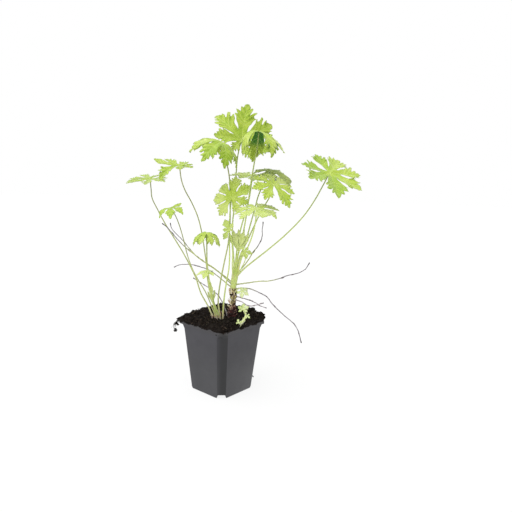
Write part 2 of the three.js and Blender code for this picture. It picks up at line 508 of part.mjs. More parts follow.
const SIDE_LEAF = { side: [], lobes: 3, size: 7.5, thick: [1.6, 1.2] };
const FRONDS = {
  // From the shoot.
  frond_top_middle: leafOf({
    stalk: [[15.9, 1.5, 176], [14.5, 4, 194], [12, 8, 220], [12, 11, 249], [15, 14, 277], [15, 16, 306],
      [17, 17, 340]],
    hub: [22, 19, 363], faces: [0.5, -0.77, 0.38], points: [0.03, 0.47, 0.88], size: 53,
    droop: [-8, 0, 16], lobeDroop: [0, 0, -10, -18, 26, -4, -12], reach: [1, 1, 1.1, 1.04, 1.06, 0.98,
      0.85],
  }),
  frond_top_right: leafOf({
    stalk: [[18.5, -3, 176], [20.5, -5.5, 196], [26, -12, 222], [31.5, -24, 254], [37, -39, 299], [41,
      -42, 327], [45, -44, 352]],
    hub: [46.2, -43.3, 369], faces: [0.2, -0.18, 0.96], points: [0.05, 0.98, 0.17], size: 55,
    droop: [117, -4, 3], lobeDroop: [-28, -54, -20, -15, 18, 50, 32], reach: [1.28, 1, 1, 1.15, 0.98,
      0.8, 1.35],
    spread: 0.9,
  }),
  frond_middle_back: leafOf({
    stalk: [[17, 2.2, 166], [17.2, 8, 185], [20, 7.4, 214], [24, 3, 237], [29, 0, 256], [35, -1, 280]],
    hub: [39, -2, 312], faces: [0.05, -0.22, 0.97], points: [-0.98, 0.1, 0.1], size: 32,
    droop: [10, 0, 0], reach: [1, 1.05, 1, 1.05, 0.85, 1, 1],
    finish: 'pale',
  }),
  frond_right_upper: leafOf({
    stalk: [[21.1, 1.5, 176], [26.5, 0, 200], [32, -3, 221], [38, -5, 245], [43, -7, 265], [48, -8, 285],
      [55, -10, 302], [60, -12, 312]],
    hub: [63, -14, 319], faces: [0.05, -0.33, 0.94], points: [0.9, 0.42, 0.1], size: 38,
    droop: [50, 0, -8], reach: [0.9, 0.8, 1.05, 1.15, 1, 1.05, 1],
    finish: 'shade',
  }),
  frond_right_lower: leafOf({
    stalk: [[18.5, 3, 176], [24, 4, 198], [33, 2, 218], [41, -4, 237], [48, -13, 254], [56, -27, 271],
      [63, -41, 285]],
    hub: [67, -50.5, 300.8], faces: [0.25, -0.54, 0.8], points: [-0.2, 0.78, 0.6], size: 43,
    droop: [32, -10, 0], reach: [1.48, 0.9, 0.75, 0.7, 0.75, 0.85, 1.14],
  }),
  frond_pale_front: leafOf({
    stalk: [[21.1, -1.5, 176], [27, -9, 198], [35, -23, 214], [41, -37, 232], [44.5, -49, 250]],
    hub: [46, -60, 270], faces: [-0.02, -0.27, 0.96], points: [0.22, -0.94, -0.25], size: 37.5,
    lobeDroop: [-8, 20, 0, -18, 18, 4, -4], reach: [0.88, 0.98, 1, 0.98, 0.88, 1.06, 1.14],
    finish: 'pale',
  }),
  frond_far_right: leafOf({
    stalk: [[18.4, 0.4, 166], [29, 2, 178], [43, 4, 190], [64, 7, 207], [90, 11, 230], [115, 16, 257],
      [131, 20, 281], [141, 22, 300]],
    hub: [150.5, 21, 320], faces: [0.25, -0.48, 0.84], points: [0.82, -0.35, -0.45], size: 61,
    droop: [0, 4, 0], lobeDroop: [-4, -5, 6, -8, 0, 4, -4], reach: [1.17, 1.04, 1.03, 0.88, 0.92, 1.05,
      1.22],
  }),
  frond_young_left: leafOf({
    stalk: [[15, -2.4, 163], [13.5, -10, 182], [14, -24, 206], [12.5, -30, 224]],
    hub: [9, -33, 238], faces: [-0.3, -0.92, 0.2], points: [-0.52, 0.05, 0.85], size: 15.5,
    reach: [0.5, 0.8, 1.15, 0.7, 1.4],
    lobes: 5, thick: [1.8, 1.3], finish: 'pale',
  }),
  frond_young_folded: leafOf({
    stalk: [[15.9, -1.5, 176], [18.5, -12, 194]],
    hub: [22.6, -24, 208], faces: [0.1, -0.97, 0.2], points: [-0.02, 0.1, 1], size: 31,
    droop: [-8, 0, 0], reach: [1.32, 1.08, 0.98, 1.05, 1.3],
    lobes: 5, spread: 0.25, slim: 0.88, fold: 0.25, thick: [1.8, 1.4], finish: 'pale',
  }),
  frond_young_right: leafOf({
    stalk: [[19, -2.4, 167], [27, -17, 184], [32, -29, 198]],
    hub: [30.2, -36, 209.5], faces: [0.05, -0.8, 0.6], points: [0.9, -0.1, -0.1], size: 12.5,
    reach: [0.9, 1, 0.95, 0.8, 1],
    lobes: 5, thick: [1.6, 1.2], finish: 'pale',
  }),
  frond_hanging: leafOf({
    stalk: [[16.5, -2.5, 144], [21, -9, 150], [25, -14, 153]],
    hub: [27.5, -20, 151], faces: [0.1, -0.62, 0.78], points: [0.85, -0.35, -0.2], size: 12.5,
    droop: [30, 0, 0],
    lobes: 5, thick: [1.5, 1.2], finish: 'pale',
  }),
  // From the side branch of the rootstock, through the soil.
  frond_upper_left: leafOf({
    stalk: [[-2.6, -7.6, 97], [-3, -8, 109], [-6, -10, 133], [-3, -11, 162], [2, -11, 190], [7, -10,
      217], [9, -9, 247], [8.5, -9, 277], [7, -13, 310]],
    hub: [-2.5, -26, 355], faces: [0.41, -0.2, 0.89], points: [-0.87, -0.37, 0.3], size: 55,
    droop: [89, -2, 0], lobeDroop: [8, 7, -3, 2, 4, -2, 0], reach: [1.1, 0.98, 1, 0.9, 0.94, 0.98, 1.2],
  }),
  frond_middle_front: leafOf({
    stalk: [[1.2, -9.5, 97], [1.2, -9.5, 108], [2, -9, 131], [5, -10, 158], [8.5, -12, 179], [9.5, -14,
      198], [9, -18, 222], [9, -23, 247], [10, -28, 266]],
    hub: [12, -32, 282], faces: [-0.16, -0.96, 0.2], points: [0.12, 0.18, 0.97], size: 36.5,
    droop: [34, 8, 15], lobeDroop: [0, 0, 0, -6, 16, 0, -4], reach: [1, 0.8, 0.9, 0.9, 0.88, 1, 1.4],
  }),
  frond_far_left: leafOf({
    stalk: [[-11.5, -13, 97], [-13, -13.5, 108], [-19, -12, 123], [-31, -10, 144], [-39, -7, 166], [-55,
      -3, 196], [-71, 3, 220], [-87, 12, 242], [-99, 20, 261], [-108, 26, 277], [-110, 29, 290]],
    hub: [-111, 28, 304.5], faces: [-0.05, -0.24, 0.97], points: [-0.75, -0.63, -0.18], size: 39,
    droop: [0, 0, 0], reach: [1.02, 1.06, 0.85, 0.99, 1, 1, 1.02],
    slim: 0.72, thick: [2.1, 1.5], finish: 'pale',
  }),
  frond_left_back: leafOf({
    stalk: [[-6, -9, 97], [-6.6, -8, 108], [-12, -5, 127], [-21, -2, 155], [-25, 0, 188], [-29, 1, 214],
      [-33, 1, 236], [-38, 0, 254], [-46, 0, 272], [-56, 0, 290], [-61, 0, 304]],
    hub: [-63.5, -1, 323.5], faces: [0.08, -0.15, 0.98], points: [-0.99, -0.02, 0.06], size: 37,
    droop: [-12, 3, 5], lobeDroop: [-12, 0, 0, -5, 54, 20, 6], reach: [0.88, 0.9, 1, 1, 1.14, 0.8, 1.05],
    slim: 0.84, thick: [2.1, 1.5],
  }),
  frond_left_small: leafOf({
    stalk: [[-8, -12, 97], [-9, -11.5, 108], [-16, -13, 128], [-24, -15, 147], [-34, -17, 164], [-42,
      -19, 180], [-49, -21, 200], [-54, -23, 221], [-60, -26, 243], [-66, -29, 258]],
    hub: [-71.5, -33, 266], faces: [-0.08, -0.06, 0.99], points: [0.15, -0.98, 0], size: 25.5,
    droop: [52, 8, -5], lobeDroop: [-6, 18, 4, 4, -82], reach: [1.02, 0.95, 1, 0.97, 1.08],
    lobes: 5, slim: 0.95, thick: [1.7, 1.3],
  }),
  frond_left_umbrella: leafOf({
    stalk: [[-1.5, -13.4, 97], [-2.5, -14.5, 108], [-10, -21, 130], [-16, -27, 153], [-18, -32, 173],
      [-20, -37, 194], [-20, -42, 215]],
    hub: [-20, -46, 234], faces: [0.03, -0.32, 0.94], points: [0, 0.94, 0.34], size: 34,
    droop: [112, 0, 0],
  }),
  frond_low_left: leafOf({
    stalk: [[-5.4, -14.6, 97], [-6.5, -17, 108], [-11, -28, 130], [-15, -41, 155], [-16, -50, 170]],
    hub: [-16, -58, 184.5], faces: [0, -0.14, 0.99], points: [-0.97, -0.2, 0], size: 18,
    droop: [38, 0, 0],
    lobes: 5, thick: [1.7, 1.3], finish: 'pale',
  }),
  frond_seedling: leafOf({
    stalk: [[22.5, -31, 97], [24.5, -34, 101.5], [26.3, -36.5, 104.5], [29, -35.5, 108.5], [32, -33,
      113], [34.5, -30, 117.5], [33.4, -28.5, 122]],
    hub: [30.5, -28.5, 126.5], faces: [-0.1, -0.78, 0.62], points: [0.05, 0.6, 0.8], size: 10.5,
    droop: [25, 0, 0],
    lobes: 5, thick: [3.6, 2.6], finish: 'pale',
    side: [
      {
        stalk: [[34.3, -30, 117]], hub: [36.3, -31, 118], faces: [0, -0.85, 0.5], points: [0.8, -0.3,
          -0.5], size: 5.5,
      },
      {
        stalk: [[27.8, -36.3, 106.8]], hub: [25.2, -44, 111], faces: [-0.2, -0.9, 0.3], points: [-0.35,
          0, 0.95], size: 6,
      },
    ],
  }),
};

// ---- Dry stalks: last year's bare leaf stalks, from the foot out ----

const DRY_STALKS = {
  dry_stalk_right_rising: [[18, -1.4, 156], [43, -6, 161], [66, -10, 164], [83, -13, 169], [95, -15, 174],
    [110, -17, 179], [118, -19, 186], [122, -20, 194]],
  dry_stalk_right_falling: [[17, -1.6, 150], [37, -7, 151], [51, -10, 147], [64, -13, 141], [71, -15, 132],
    [81, -18, 122], [94, -21, 112], [104, -24, 104], [109, -27, 95], [114, -30, 80]],
  dry_stalk_upright: [[19, 2.4, 171], [34, 8, 187], [48, 15, 209], [55, 19, 222], [55, 22, 234],
    [56, 25, 246]],
  dry_stalk_low_right: [[16.5, 2, 138], [41, 15, 129], [56, 25, 118], [65, 30, 114]],
  dry_stalk_right_arch: [[17, -1.5, 134], [29, -2, 130], [37, -1, 125], [48, 2, 125], [60, 5, 128]],
  dry_stalk_left_front: [[13, -1.6, 156], [-9, -4, 176], [-25, -7, 187], [-39, -8, 198], [-51, -10, 208],
    [-64, -12, 220], [-79, -12, 238], [-86, -13, 243]],
  dry_stalk_left_back: [[14, 2.2, 158], [-13, 9, 175], [-35, 13, 189], [-50, 17, 202], [-65, 20, 219],
    [-79, 24, 233], [-81, 25, 241]],
  dry_stalk_left_level: [[13.4, 2.2, 150], [-9, 13, 165], [-26, 21, 174], [-50, 30, 178], [-67, 36, 177],
    [-78, 40, 172]],
  dry_stalk_left_low: [[5, 3, 100], [6, 5, 109], [-1, 13, 125], [-9, 20, 135], [-28, 33, 146],
    [-49, 45, 155]],
};
const DRY_THICK = [1.7, 1.2];

// ---- Assembly ----

const part = new THREE.Group();

function place(name, solid, finish) {
  const [color, roughness] = FINISH[finish];
  const material = new THREE.MeshStandardMaterial({ color, roughness, metalness: 0 });
  const mesh = new THREE.Mesh(toGeometry(solid), material);
  mesh.name = name;
  part.add(mesh);
}

/** A leaf and the leaflets that share its stalk. */
function withSides(leaf) {
  return [leaf, ...(leaf.side ?? []).map((own) => leafOf({ ...leaf, ...SIDE_LEAF, ...own }))];
}

function frond(leaf) {
  return join(withSides(leaf).flatMap((one) => [frondStalk(one), blade(one)]));
}

const dryStalk = (points, grow = 0) => stalk(points.map(plant), ...DRY_THICK, grow);
const sockets = [
  ...Object.values(FRONDS).flatMap(withSides).map((leaf) => frondStalk(leaf, CLEARANCE)),
  ...Object.values(DRY_STALKS).map((points) => dryStalk(points, CLEARANCE)),
];
const drilled = (solid) => largest(sockets.reduce((sum, socket) => sum.subtract(socket), solid));

place('pot', pot(), 'plastic');
place('soil', soil([rootstock(CLEARANCE), ...sockets]), 'soil');
place('rootstock', drilled(rootstock(0).subtract(shoot(CLEARANCE))), 'wood');
place('shoot', drilled(shoot(0)), 'shoot');
Object.entries(FRONDS).forEach(([name, leaf]) => place(name, frond(leaf), leaf.finish));
Object.entries(DRY_STALKS).forEach(([name, points]) => place(name, dryStalk(points), 'dry'));

export default part;
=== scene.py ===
"""A hardy geranium in a square black nursery pot: the looks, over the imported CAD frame.

Lengths in the tables are millimetres. The plant is written in its own level axes, [across, back, up],
as in the CAD model: they are turned by PLANT_TURN from the pot's, so that "back" runs from the pot's
front corner to its rear one.
"""

import math

import bmesh
import bpy
import numpy as np
from mathutils import Matrix, Vector, noise


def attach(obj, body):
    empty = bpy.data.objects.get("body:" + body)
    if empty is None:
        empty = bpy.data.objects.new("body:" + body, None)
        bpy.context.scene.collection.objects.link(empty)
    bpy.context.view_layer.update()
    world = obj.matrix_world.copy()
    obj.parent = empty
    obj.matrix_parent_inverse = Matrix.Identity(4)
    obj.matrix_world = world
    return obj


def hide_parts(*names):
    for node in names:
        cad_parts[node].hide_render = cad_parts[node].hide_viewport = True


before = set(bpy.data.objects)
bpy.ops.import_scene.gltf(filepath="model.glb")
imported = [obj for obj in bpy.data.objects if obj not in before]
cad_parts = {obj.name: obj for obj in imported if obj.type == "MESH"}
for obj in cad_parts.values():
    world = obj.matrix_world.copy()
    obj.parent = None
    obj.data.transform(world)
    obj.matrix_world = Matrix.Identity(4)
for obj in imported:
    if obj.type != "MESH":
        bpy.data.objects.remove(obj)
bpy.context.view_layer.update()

MM = 0.001
PLANT_TURN = math.radians(41)

# ---- Sizes shared with the CAD model ----

POT = {
    "height": 102,
    "top_width": 90.4,
    "floor_width": 69.6,
    "top_corner": 10.7,
    "floor_corner": 8.4,
    "wall": 1.3,
    "lip_width": 92.6,
    "lip_corner": 6,
}
SOIL = {"over_lip": 0.35, "height": 9.4, "back_rise": 2.5, "right_rise": 2.9, "lumps": 1.3}
# Share of the reach and share of the height above the lip, from the edge over the ridge to the middle.
HEAP = [[0.985, 0], [1.015, 0.3], [0.965, 0.66], [0.85, 0.96], [0.66, 0.92], [0.42, 0.66], [0.18, 0.5],
        [0, 0.46]]
# Up the rootstock: [across, back, up, thickness].
ROOTSTOCK = [[12, 1, 66, 7], [12.5, 0.7, 80, 9], [13, 0.4, 94, 11.5], [13.8, 0, 106, 12.6],
             [14.2, 0, 116, 11], [14.9, 0, 124, 8.6], [15.4, 0, 130, 7], [15.2, 0, 136, 8],
             [14.7, 0, 142, 10.4], [14.6, 0, 150, 10.8]]
# Knobs on the rootstock: [across, back, up, radius].
LUMPS = [[18.9, -2.6, 144.5, 2.7], [18.6, -2.2, 138.5, 2.5], [11.6, -3.4, 142, 2.1], [12.2, -2.6, 136.5, 1.8],
         [12, -4, 113, 3.2], [17.2, -4, 109.5, 3.5], [10.4, -3, 107, 3.3], [14, -5, 106, 3]]
# Peeling sheaths: [up, turn from the left, length, flare].
PEELING = [[127, 0.1, 11, 4.6], [131, 0.55, 9, 4.2], [124, -0.4, 9, 4.6], [119, 0.7, 10, 3.2],
           [135, 0.9, 8, 2.4], [137, 2.3, 9, 0.8], [140, 4.2, 8, 0.8]]
PEELING_WIDTH = 6
# Sheaths that stand off the rootstock: [foot, as across, back and up, then way across and up, width, length].
FLAGS = [[12.5, -3, 126, -0.5, 0.85, 5, 11], [12, -3.5, 130, -0.75, 0.65, 4, 8],
         [12, -2, 122, -0.75, 0.6, 4, 9], [11.5, -3, 140.5, -0.3, 0.95, 4, 10],
         [16.5, -4, 141, 0.05, 1, 4, 8], [10.2, -2.4, 143, -0.1, 1, 5, 11],
         [12.6, -5.2, 143, -0.05, 1, 5, 11]]
# Small scales on the rootstock: [lowest, highest, how many] in each band of height.
BARK_SCALES = [(104, 121, 17), (121, 135, 4), (136, 143, 8)]
PAPER_SCALES = 11
BRANCH = [[13, 0, 96], [4, -6, 94], [-4, -11, 96], [-13, -13, 99]]
ROOTS = [[30, 8, 48], [16, -22, 40], [-8, 22, 42], [-16, -14, 30]]
SHOOT = [[14.5, 0, 145.5], [15, 0, 153], [17, 0, 168], [19.2, 0, 184]]
SHOOT_THICK = [8.2, 9.8]

# Direction of each lobe from the leaf's tip lobe, in degrees, and its length as a share of the leaf's size.
LOBES = {
    7: [(-148, 0.62), (-100, 0.84), (-50, 0.95), (0, 1), (50, 0.95), (100, 0.84), (148, 0.62)],
    5: [(-118, 0.7), (-58, 0.92), (0, 1), (58, 0.92), (118, 0.7)],
    3: [(-75, 0.8), (0, 1), (75, 0.8)],
}
# How far out the lobes part, and how far the blade reaches behind the stalk, as shares of its size.
SINUS = 0.28
HEEL = 0.06
# Half of a lobe's edge: [along the lobe, out from its midrib, where on the midrib its side vein starts].
MANY_TEETH = [
    [0.34, 0.122, 0.31], [0.42, 0.158, 0.34], [0.5, 0.192, 0.37], [0.57, 0.23, 0.395],
    [0.625, 0.27, 0.415], [0.664, 0.29, 0.435], [0.682, 0.27, 0.45], [0.668, 0.218, 0.47],
    [0.715, 0.24, 0.49], [0.77, 0.27, 0.505], [0.81, 0.272, 0.52], [0.818, 0.244, 0.535],
    [0.79, 0.185, 0.555], [0.738, 0.122, 0.58], [0.78, 0.132, 0.62], [0.835, 0.16, 0.66],
    [0.88, 0.166, 0.69], [0.895, 0.138, 0.73], [0.874, 0.086, 0.775], [0.92, 0.082, 0.83],
    [0.962, 0.056, 0.89], [0.988, 0.026, 0.95], [1, 0, 1],
]
FEW_TEETH = [
    [0.34, 0.14, 0.31], [0.42, 0.19, 0.345], [0.5, 0.24, 0.375], [0.58, 0.292, 0.41], [0.65, 0.325, 0.435],
    [0.672, 0.3, 0.455], [0.665, 0.25, 0.485], [0.69, 0.215, 0.53], [0.75, 0.215, 0.57], [0.8, 0.205, 0.61],
    [0.812, 0.165, 0.66], [0.8, 0.125, 0.72], [0.86, 0.115, 0.79], [0.92, 0.09, 0.86], [0.975, 0.045, 0.93],
    [1, 0, 1],
]
EDGE = {7: MANY_TEETH, 5: FEW_TEETH, 3: FEW_TEETH}
# Side veins: [place on the midrib, count of veins so far]. A vein runs out along each whole number.
MANY_VEINS = ([0, 0.28, 0.435, 0.51, 0.68, 0.88, 1], [0.1, 0.5, 1, 2, 3, 4, 4.4])
FEW_VEINS = ([0, 0.28, 0.435, 0.6, 0.85, 1], [0.1, 0.5, 1, 2, 3, 3.4])
VEINS = {7: MANY_VEINS, 5: FEW_VEINS, 3: FEW_VEINS}
COLUMNS = 5  # of faces from a lobe's midrib out to its edge
BLADE_THICK = 0.42
BLADE_SIZE = 50  # of the leaf that the waves, dents and rims are given for; smaller leaves have smaller ones
FOLDED = 0.5  # a leaf spread less than this is a folded young one
# Half the width of the pot's bevel, as x + y in metres at its foot, and how it grows with each metre up.
BEVEL_FOOT = POT["floor_corner"] * MM
BEVEL_SPREAD = (POT["top_corner"] - POT["floor_corner"]) / POT["height"]


def leaf_of(**own):
    """Fills in what most leaves share."""
    common = {"lobes": 7, "spread": 1, "slim": 1, "droop": [20, 0, 0], "fold": 0.22, "thick": [2.3, 1.6],
              "finish": "fresh", "tone": 0, "lobe_tone": None}
    return {**common, **own}


# stalk: points from the foot up; hub: where the stalk meets the blade; faces: the way the upper face looks;
# points: the way the tip lobe points; size: length of the tip lobe; droop: degrees of bend along a lobe, for
# all, more towards the tip, more towards the left; reach, lobe_droop and lobe_tone: length, added
# droop and added tone of each lobe, from the right one at the stalk round to the left one, that tone being
# painted light, paler for sheen and deeper green for light through the lobe; lobes: how many; spread: 1
# for an open leaf, less for a young one; slim: width of the lobes; fold: rise of a lobe's sides from its
# midrib; thick: of the stalk, foot and top; finish and stalk_finish: looks of the blade and of the stalk;
# tone: 0 is fresh, less is deeper green, more is paler, for the leaf's own green and for painted light and
# shade on the whole leaf; shadow: 1 for a dark middle on the lower face; side: leaves that share the stalk.
SIDE_LEAF = {"side": [], "lobes": 3, "size": 7.5, "thick": [1.6, 1.2]}
FRONDS = {
    # From the shoot.
    "frond_top_middle": leaf_of(
        stalk=[[15.9, 1.5, 176], [14.5, 4, 194], [12, 8, 220], [12, 11, 249], [15, 14, 277], [15, 16, 306],
               [17, 17, 340]],
        hub=[22, 19, 363], faces=[0.5, -0.77, 0.38], points=[0.03, 0.47, 0.88], size=53,
        droop=[-8, 0, 16], lobe_droop=[0, 0, -10, -18, 26, -4, -12],
        reach=[1, 1, 1.1, 1.04, 1.06, 0.98, 0.85],
        tone=-0.15, lobe_tone=[0.1, -0.1, -0.2, -0.2, -0.1, 0, 0.1]),
    "frond_top_right": leaf_of(
        stalk=[[18.5, -3, 176], [20.5, -5.5, 196], [26, -12, 222], [31.5, -24, 254], [37, -39, 299],
               [41, -42, 327], [45, -44, 352]],
        hub=[46.2, -43.3, 369], faces=[0.2, -0.18, 0.96], points=[0.05, 0.98, 0.17], size=55,
        droop=[117, -4, 3], lobe_droop=[-28, -54, -20, -15, 18, 50, 32],
        reach=[1.28, 1, 1, 1.15, 0.98, 0.8, 1.35], spread=0.9,
        tone=0.1, lobe_tone=[-0.1, 1, 0, -0.2, -0.1, 0.4, 0.2], shadow=1),
    "frond_middle_back": leaf_of(
        stalk=[[17, 2.2, 166], [17.2, 8, 185], [20, 7.4, 214], [24, 3, 237], [29, 0, 256], [35, -1, 280]],
        hub=[39, -2, 312], faces=[0.05, -0.22, 0.97], points=[-0.98, 0.1, 0.1], size=32,
        droop=[10, 0, 0], reach=[1, 1.05, 1, 1.05, 0.85, 1, 1], finish="pale"),
    "frond_right_upper": leaf_of(
        stalk=[[21.1, 1.5, 176], [26.5, 0, 200], [32, -3, 221], [38, -5, 245], [43, -7, 265], [48, -8, 285],
               [55, -10, 302], [60, -12, 312]],
        hub=[63, -14, 319], faces=[0.05, -0.33, 0.94], points=[0.9, 0.42, 0.1], size=38,
        droop=[50, 0, -8], reach=[0.9, 0.8, 1.05, 1.15, 1, 1.05, 1], finish="shade"),
    "frond_right_lower": leaf_of(
        stalk=[[18.5, 3, 176], [24, 4, 198], [33, 2, 218], [41, -4, 237], [48, -13, 254], [56, -27, 271],
               [63, -41, 285]],
        hub=[67, -50.5, 300.8], faces=[0.25, -0.54, 0.8], points=[-0.2, 0.78, 0.6], size=43,
        droop=[32, -10, 0], reach=[1.48, 0.9, 0.75, 0.7, 0.75, 0.85, 1.14],
        tone=0.35, lobe_tone=[-0.7, -0.2, 0.2, 0, 0, -0.4, -0.5]),
    "frond_pale_front": leaf_of(
        stalk=[[21.1, -1.5, 176], [27, -9, 198], [35, -23, 214], [41, -37, 232], [44.5, -49, 250]],
        hub=[46, -60, 270], faces=[-0.02, -0.27, 0.96], points=[0.22, -0.94, -0.25], size=37.5,
        droop=[20, 0, 0], lobe_droop=[-8, 20, 0, -18, 18, 4, -4],
        reach=[0.88, 0.98, 1, 0.98, 0.88, 1.06, 1.14], finish="pale", tone=0.35),
    "frond_far_right": leaf_of(
        stalk=[[18.4, 0.4, 166], [29, 2, 178], [43, 4, 190], [64, 7, 207], [90, 11, 230], [115, 16, 257],
               [131, 20, 281], [141, 22, 300]],
        hub=[150.5, 21, 320], faces=[0.25, -0.48, 0.84], points=[0.82, -0.35, -0.45], size=61,
        droop=[0, 4, 0], lobe_droop=[-4, -5, 6, -8, 0, 4, -4],
        reach=[1.17, 1.04, 1.03, 0.88, 0.92, 1.05, 1.22],
        tone=-0.12, lobe_tone=[-1.1, -0.7, -1.2, 0.1, 0.3, 0.3, -1.1]),
    "frond_young_left": leaf_of(
        stalk=[[15, -2.4, 163], [13.5, -10, 182], [14, -24, 206], [12.5, -30, 224]],
        hub=[9, -33, 238], faces=[-0.3, -0.92, 0.2], points=[-0.52, 0.05, 0.85], size=15.5,
        lobes=5, reach=[0.5, 0.8, 1.15, 0.7, 1.4], thick=[1.8, 1.3], finish="pale"),
    "frond_young_folded": leaf_of(
        stalk=[[15.9, -1.5, 176], [18.5, -12, 194]],
        hub=[22.6, -24, 208], faces=[0.1, -0.97, 0.2], points=[-0.02, 0.1, 1], size=31,
        lobes=5, spread=0.25, slim=2, droop=[-8, 0, 0], reach=[1.32, 1.08, 0.98, 1.05, 1.3], fold=0.38,
        thick=[1.8, 1.4], finish="pale", tone=0.75),
    "frond_young_right": leaf_of(
        stalk=[[19, -2.4, 167], [27, -17, 184], [32, -29, 198]],
        hub=[30.2, -36, 209.5], faces=[0.05, -0.8, 0.6], points=[0.9, -0.1, -0.1], size=12.5,
        lobes=5, reach=[0.9, 1, 0.95, 0.8, 1], thick=[1.6, 1.2], finish="pale"),
    "frond_hanging": leaf_of(
        stalk=[[16.5, -2.5, 144], [21, -9, 150], [25, -14, 153]],
        hub=[27.5, -20, 151], faces=[0.1, -0.62, 0.78], points=[0.85, -0.35, -0.2], size=12.5,
        lobes=5, droop=[30, 0, 0], thick=[1.5, 1.2], finish="wan", tone=0.3),
    # From the side branch of the rootstock, through the soil.
    "frond_upper_left": leaf_of(
        stalk=[[-2.6, -7.6, 97], [-3, -8, 109], [-6, -10, 133], [-3, -11, 162], [2, -11, 190], [7, -10, 217],
               [9, -9, 247], [8.5, -9, 277], [7, -13, 310]],
        hub=[-2.5, -26, 355], faces=[0.41, -0.2, 0.89], points=[-0.87, -0.37, 0.3], size=55,
        droop=[89, -2, 0], lobe_droop=[8, 7, -3, 2, 4, -2, 0], reach=[1.1, 0.98, 1, 0.9, 0.94, 0.98, 1.2],
        lobe_tone=[-0.6, -0.7, 0.1, 0.2, -0.8, -0.9, -0.2], stalk_finish="thin"),
    "frond_middle_front": leaf_of(
        stalk=[[1.2, -9.5, 97], [1.2, -9.5, 108], [2, -9, 131], [5, -10, 158], [8.5, -12, 179],
               [9.5, -14, 198], [9, -18, 222], [9, -23, 247], [10, -28, 266]],
        hub=[12, -32, 282], faces=[-0.16, -0.96, 0.2], points=[0.12, 0.18, 0.97], size=36.5,
        droop=[34, 8, 15], lobe_droop=[0, 0, 0, -6, 16, 0, -4], reach=[1, 0.8, 0.9, 0.9, 0.88, 1, 1.4],
        tone=0.15, lobe_tone=[0.5, 0.1, -0.1, 0.1, 0.2, 0.7, 0.9], stalk_finish="pale"),
    "frond_far_left": leaf_of(
        stalk=[[-11.5, -13, 97], [-13, -13.5, 108], [-19, -12, 123], [-31, -10, 144], [-39, -7, 166],
               [-55, -3, 196], [-71, 3, 220], [-87, 12, 242], [-99, 20, 261], [-108, 26, 277],
               [-110, 29, 290]],
        hub=[-111, 28, 304.5], faces=[-0.05, -0.24, 0.97], points=[-0.75, -0.63, -0.18], size=39,
        droop=[0, 0, 0], slim=0.72, reach=[1.02, 1.06, 0.85, 0.99, 1, 1, 1.02], thick=[2.1, 1.5],
        finish="pale", tone=-0.9, stalk_finish="thin"),
    "frond_left_back": leaf_of(
        stalk=[[-6, -9, 97], [-6.6, -8, 108], [-12, -5, 127], [-21, -2, 155], [-25, 0, 188], [-29, 1, 214],
               [-33, 1, 236], [-38, 0, 254], [-46, 0, 272], [-56, 0, 290], [-61, 0, 304]],
        hub=[-63.5, -1, 323.5], faces=[0.08, -0.15, 0.98], points=[-0.99, -0.02, 0.06], size=37,
        droop=[-12, 3, 5], lobe_droop=[-12, 0, 0, -5, 54, 20, 6], reach=[0.88, 0.9, 1, 1, 1.14, 0.8, 1.05],
        slim=0.84, thick=[2.1, 1.5], tone=-0.3, stalk_finish="thin"),
    "frond_left_small": leaf_of(
        stalk=[[-8, -12, 97], [-9, -11.5, 108], [-16, -13, 128], [-24, -15, 147], [-34, -17, 164],
               [-42, -19, 180], [-49, -21, 200], [-54, -23, 221], [-60, -26, 243], [-66, -29, 258]],
        hub=[-71.5, -33, 266], faces=[-0.08, -0.06, 0.99], points=[0.15, -0.98, 0], size=25.5,
        lobes=5, droop=[52, 8, -5], slim=0.95, lobe_droop=[-6, 18, 4, 4, -82],
        reach=[1.02, 0.95, 1, 0.97, 1.08], thick=[1.7, 1.3], tone=-0.4, stalk_finish="thin"),
    "frond_left_umbrella": leaf_of(
        stalk=[[-1.5, -13.4, 97], [-2.5, -14.5, 108], [-10, -21, 130], [-16, -27, 153], [-18, -32, 173],
               [-20, -37, 194], [-20, -42, 215]],
        hub=[-20, -46, 234], faces=[0.03, -0.32, 0.94], points=[0, 0.94, 0.34], size=34,
        droop=[112, 0, 0]),
    "frond_low_left": leaf_of(
        stalk=[[-5.4, -14.6, 97], [-6.5, -17, 108], [-11, -28, 130], [-15, -41, 155], [-16, -50, 170]],
        hub=[-16, -58, 184.5], faces=[0, -0.14, 0.99], points=[-0.97, -0.2, 0], size=18,
        lobes=5, droop=[38, 0, 0], thick=[1.7, 1.3], finish="pale",
        side=[{"stalk": [[-0.3, -13.3, 98], [-1.5, -14, 105], [-4.8, -16.6, 114], [-9, -20.8, 124]],
               "hub": [-12, -24.3, 132], "faces": [0.1, -0.95, -0.2], "points": [-0.12, -0.26, 0.95],
               "size": 41, "spread": 0.18, "slim": 1.4, "tone": 0.4, "reach": [0.65, 1, 0.65],
               "droop": [-6, 0, 0], "fold": 0.6, "thick": [1.9, 1.6]}]),
    "frond_seedling": leaf_of(
        stalk=[[22.5, -31, 97], [24.5, -34, 101.5], [26.3, -36.5, 104.5], [29, -35.5, 108.5], [32, -33, 113],
               [34.5, -30, 117.5], [33.4, -28.5, 122]],
        hub=[30.5, -28.5, 126.5], faces=[-0.1, -0.78, 0.62], points=[0.05, 0.6, 0.8], size=10.5,
        lobes=5, droop=[25, 0, 0], thick=[3.6, 2.6], finish="wan",
        side=[
            {"stalk": [[34.3, -30, 117]], "hub": [36.3, -31, 118], "faces": [0, -0.85, 0.5],
             "points": [0.8, -0.3, -0.5], "size": 5.5},
            {"stalk": [[27.8, -36.3, 106.8]], "hub": [25.2, -44, 111], "faces": [-0.2, -0.9, 0.3],
             "points": [-0.35, 0, 0.95], "size": 6},
        ]),
}
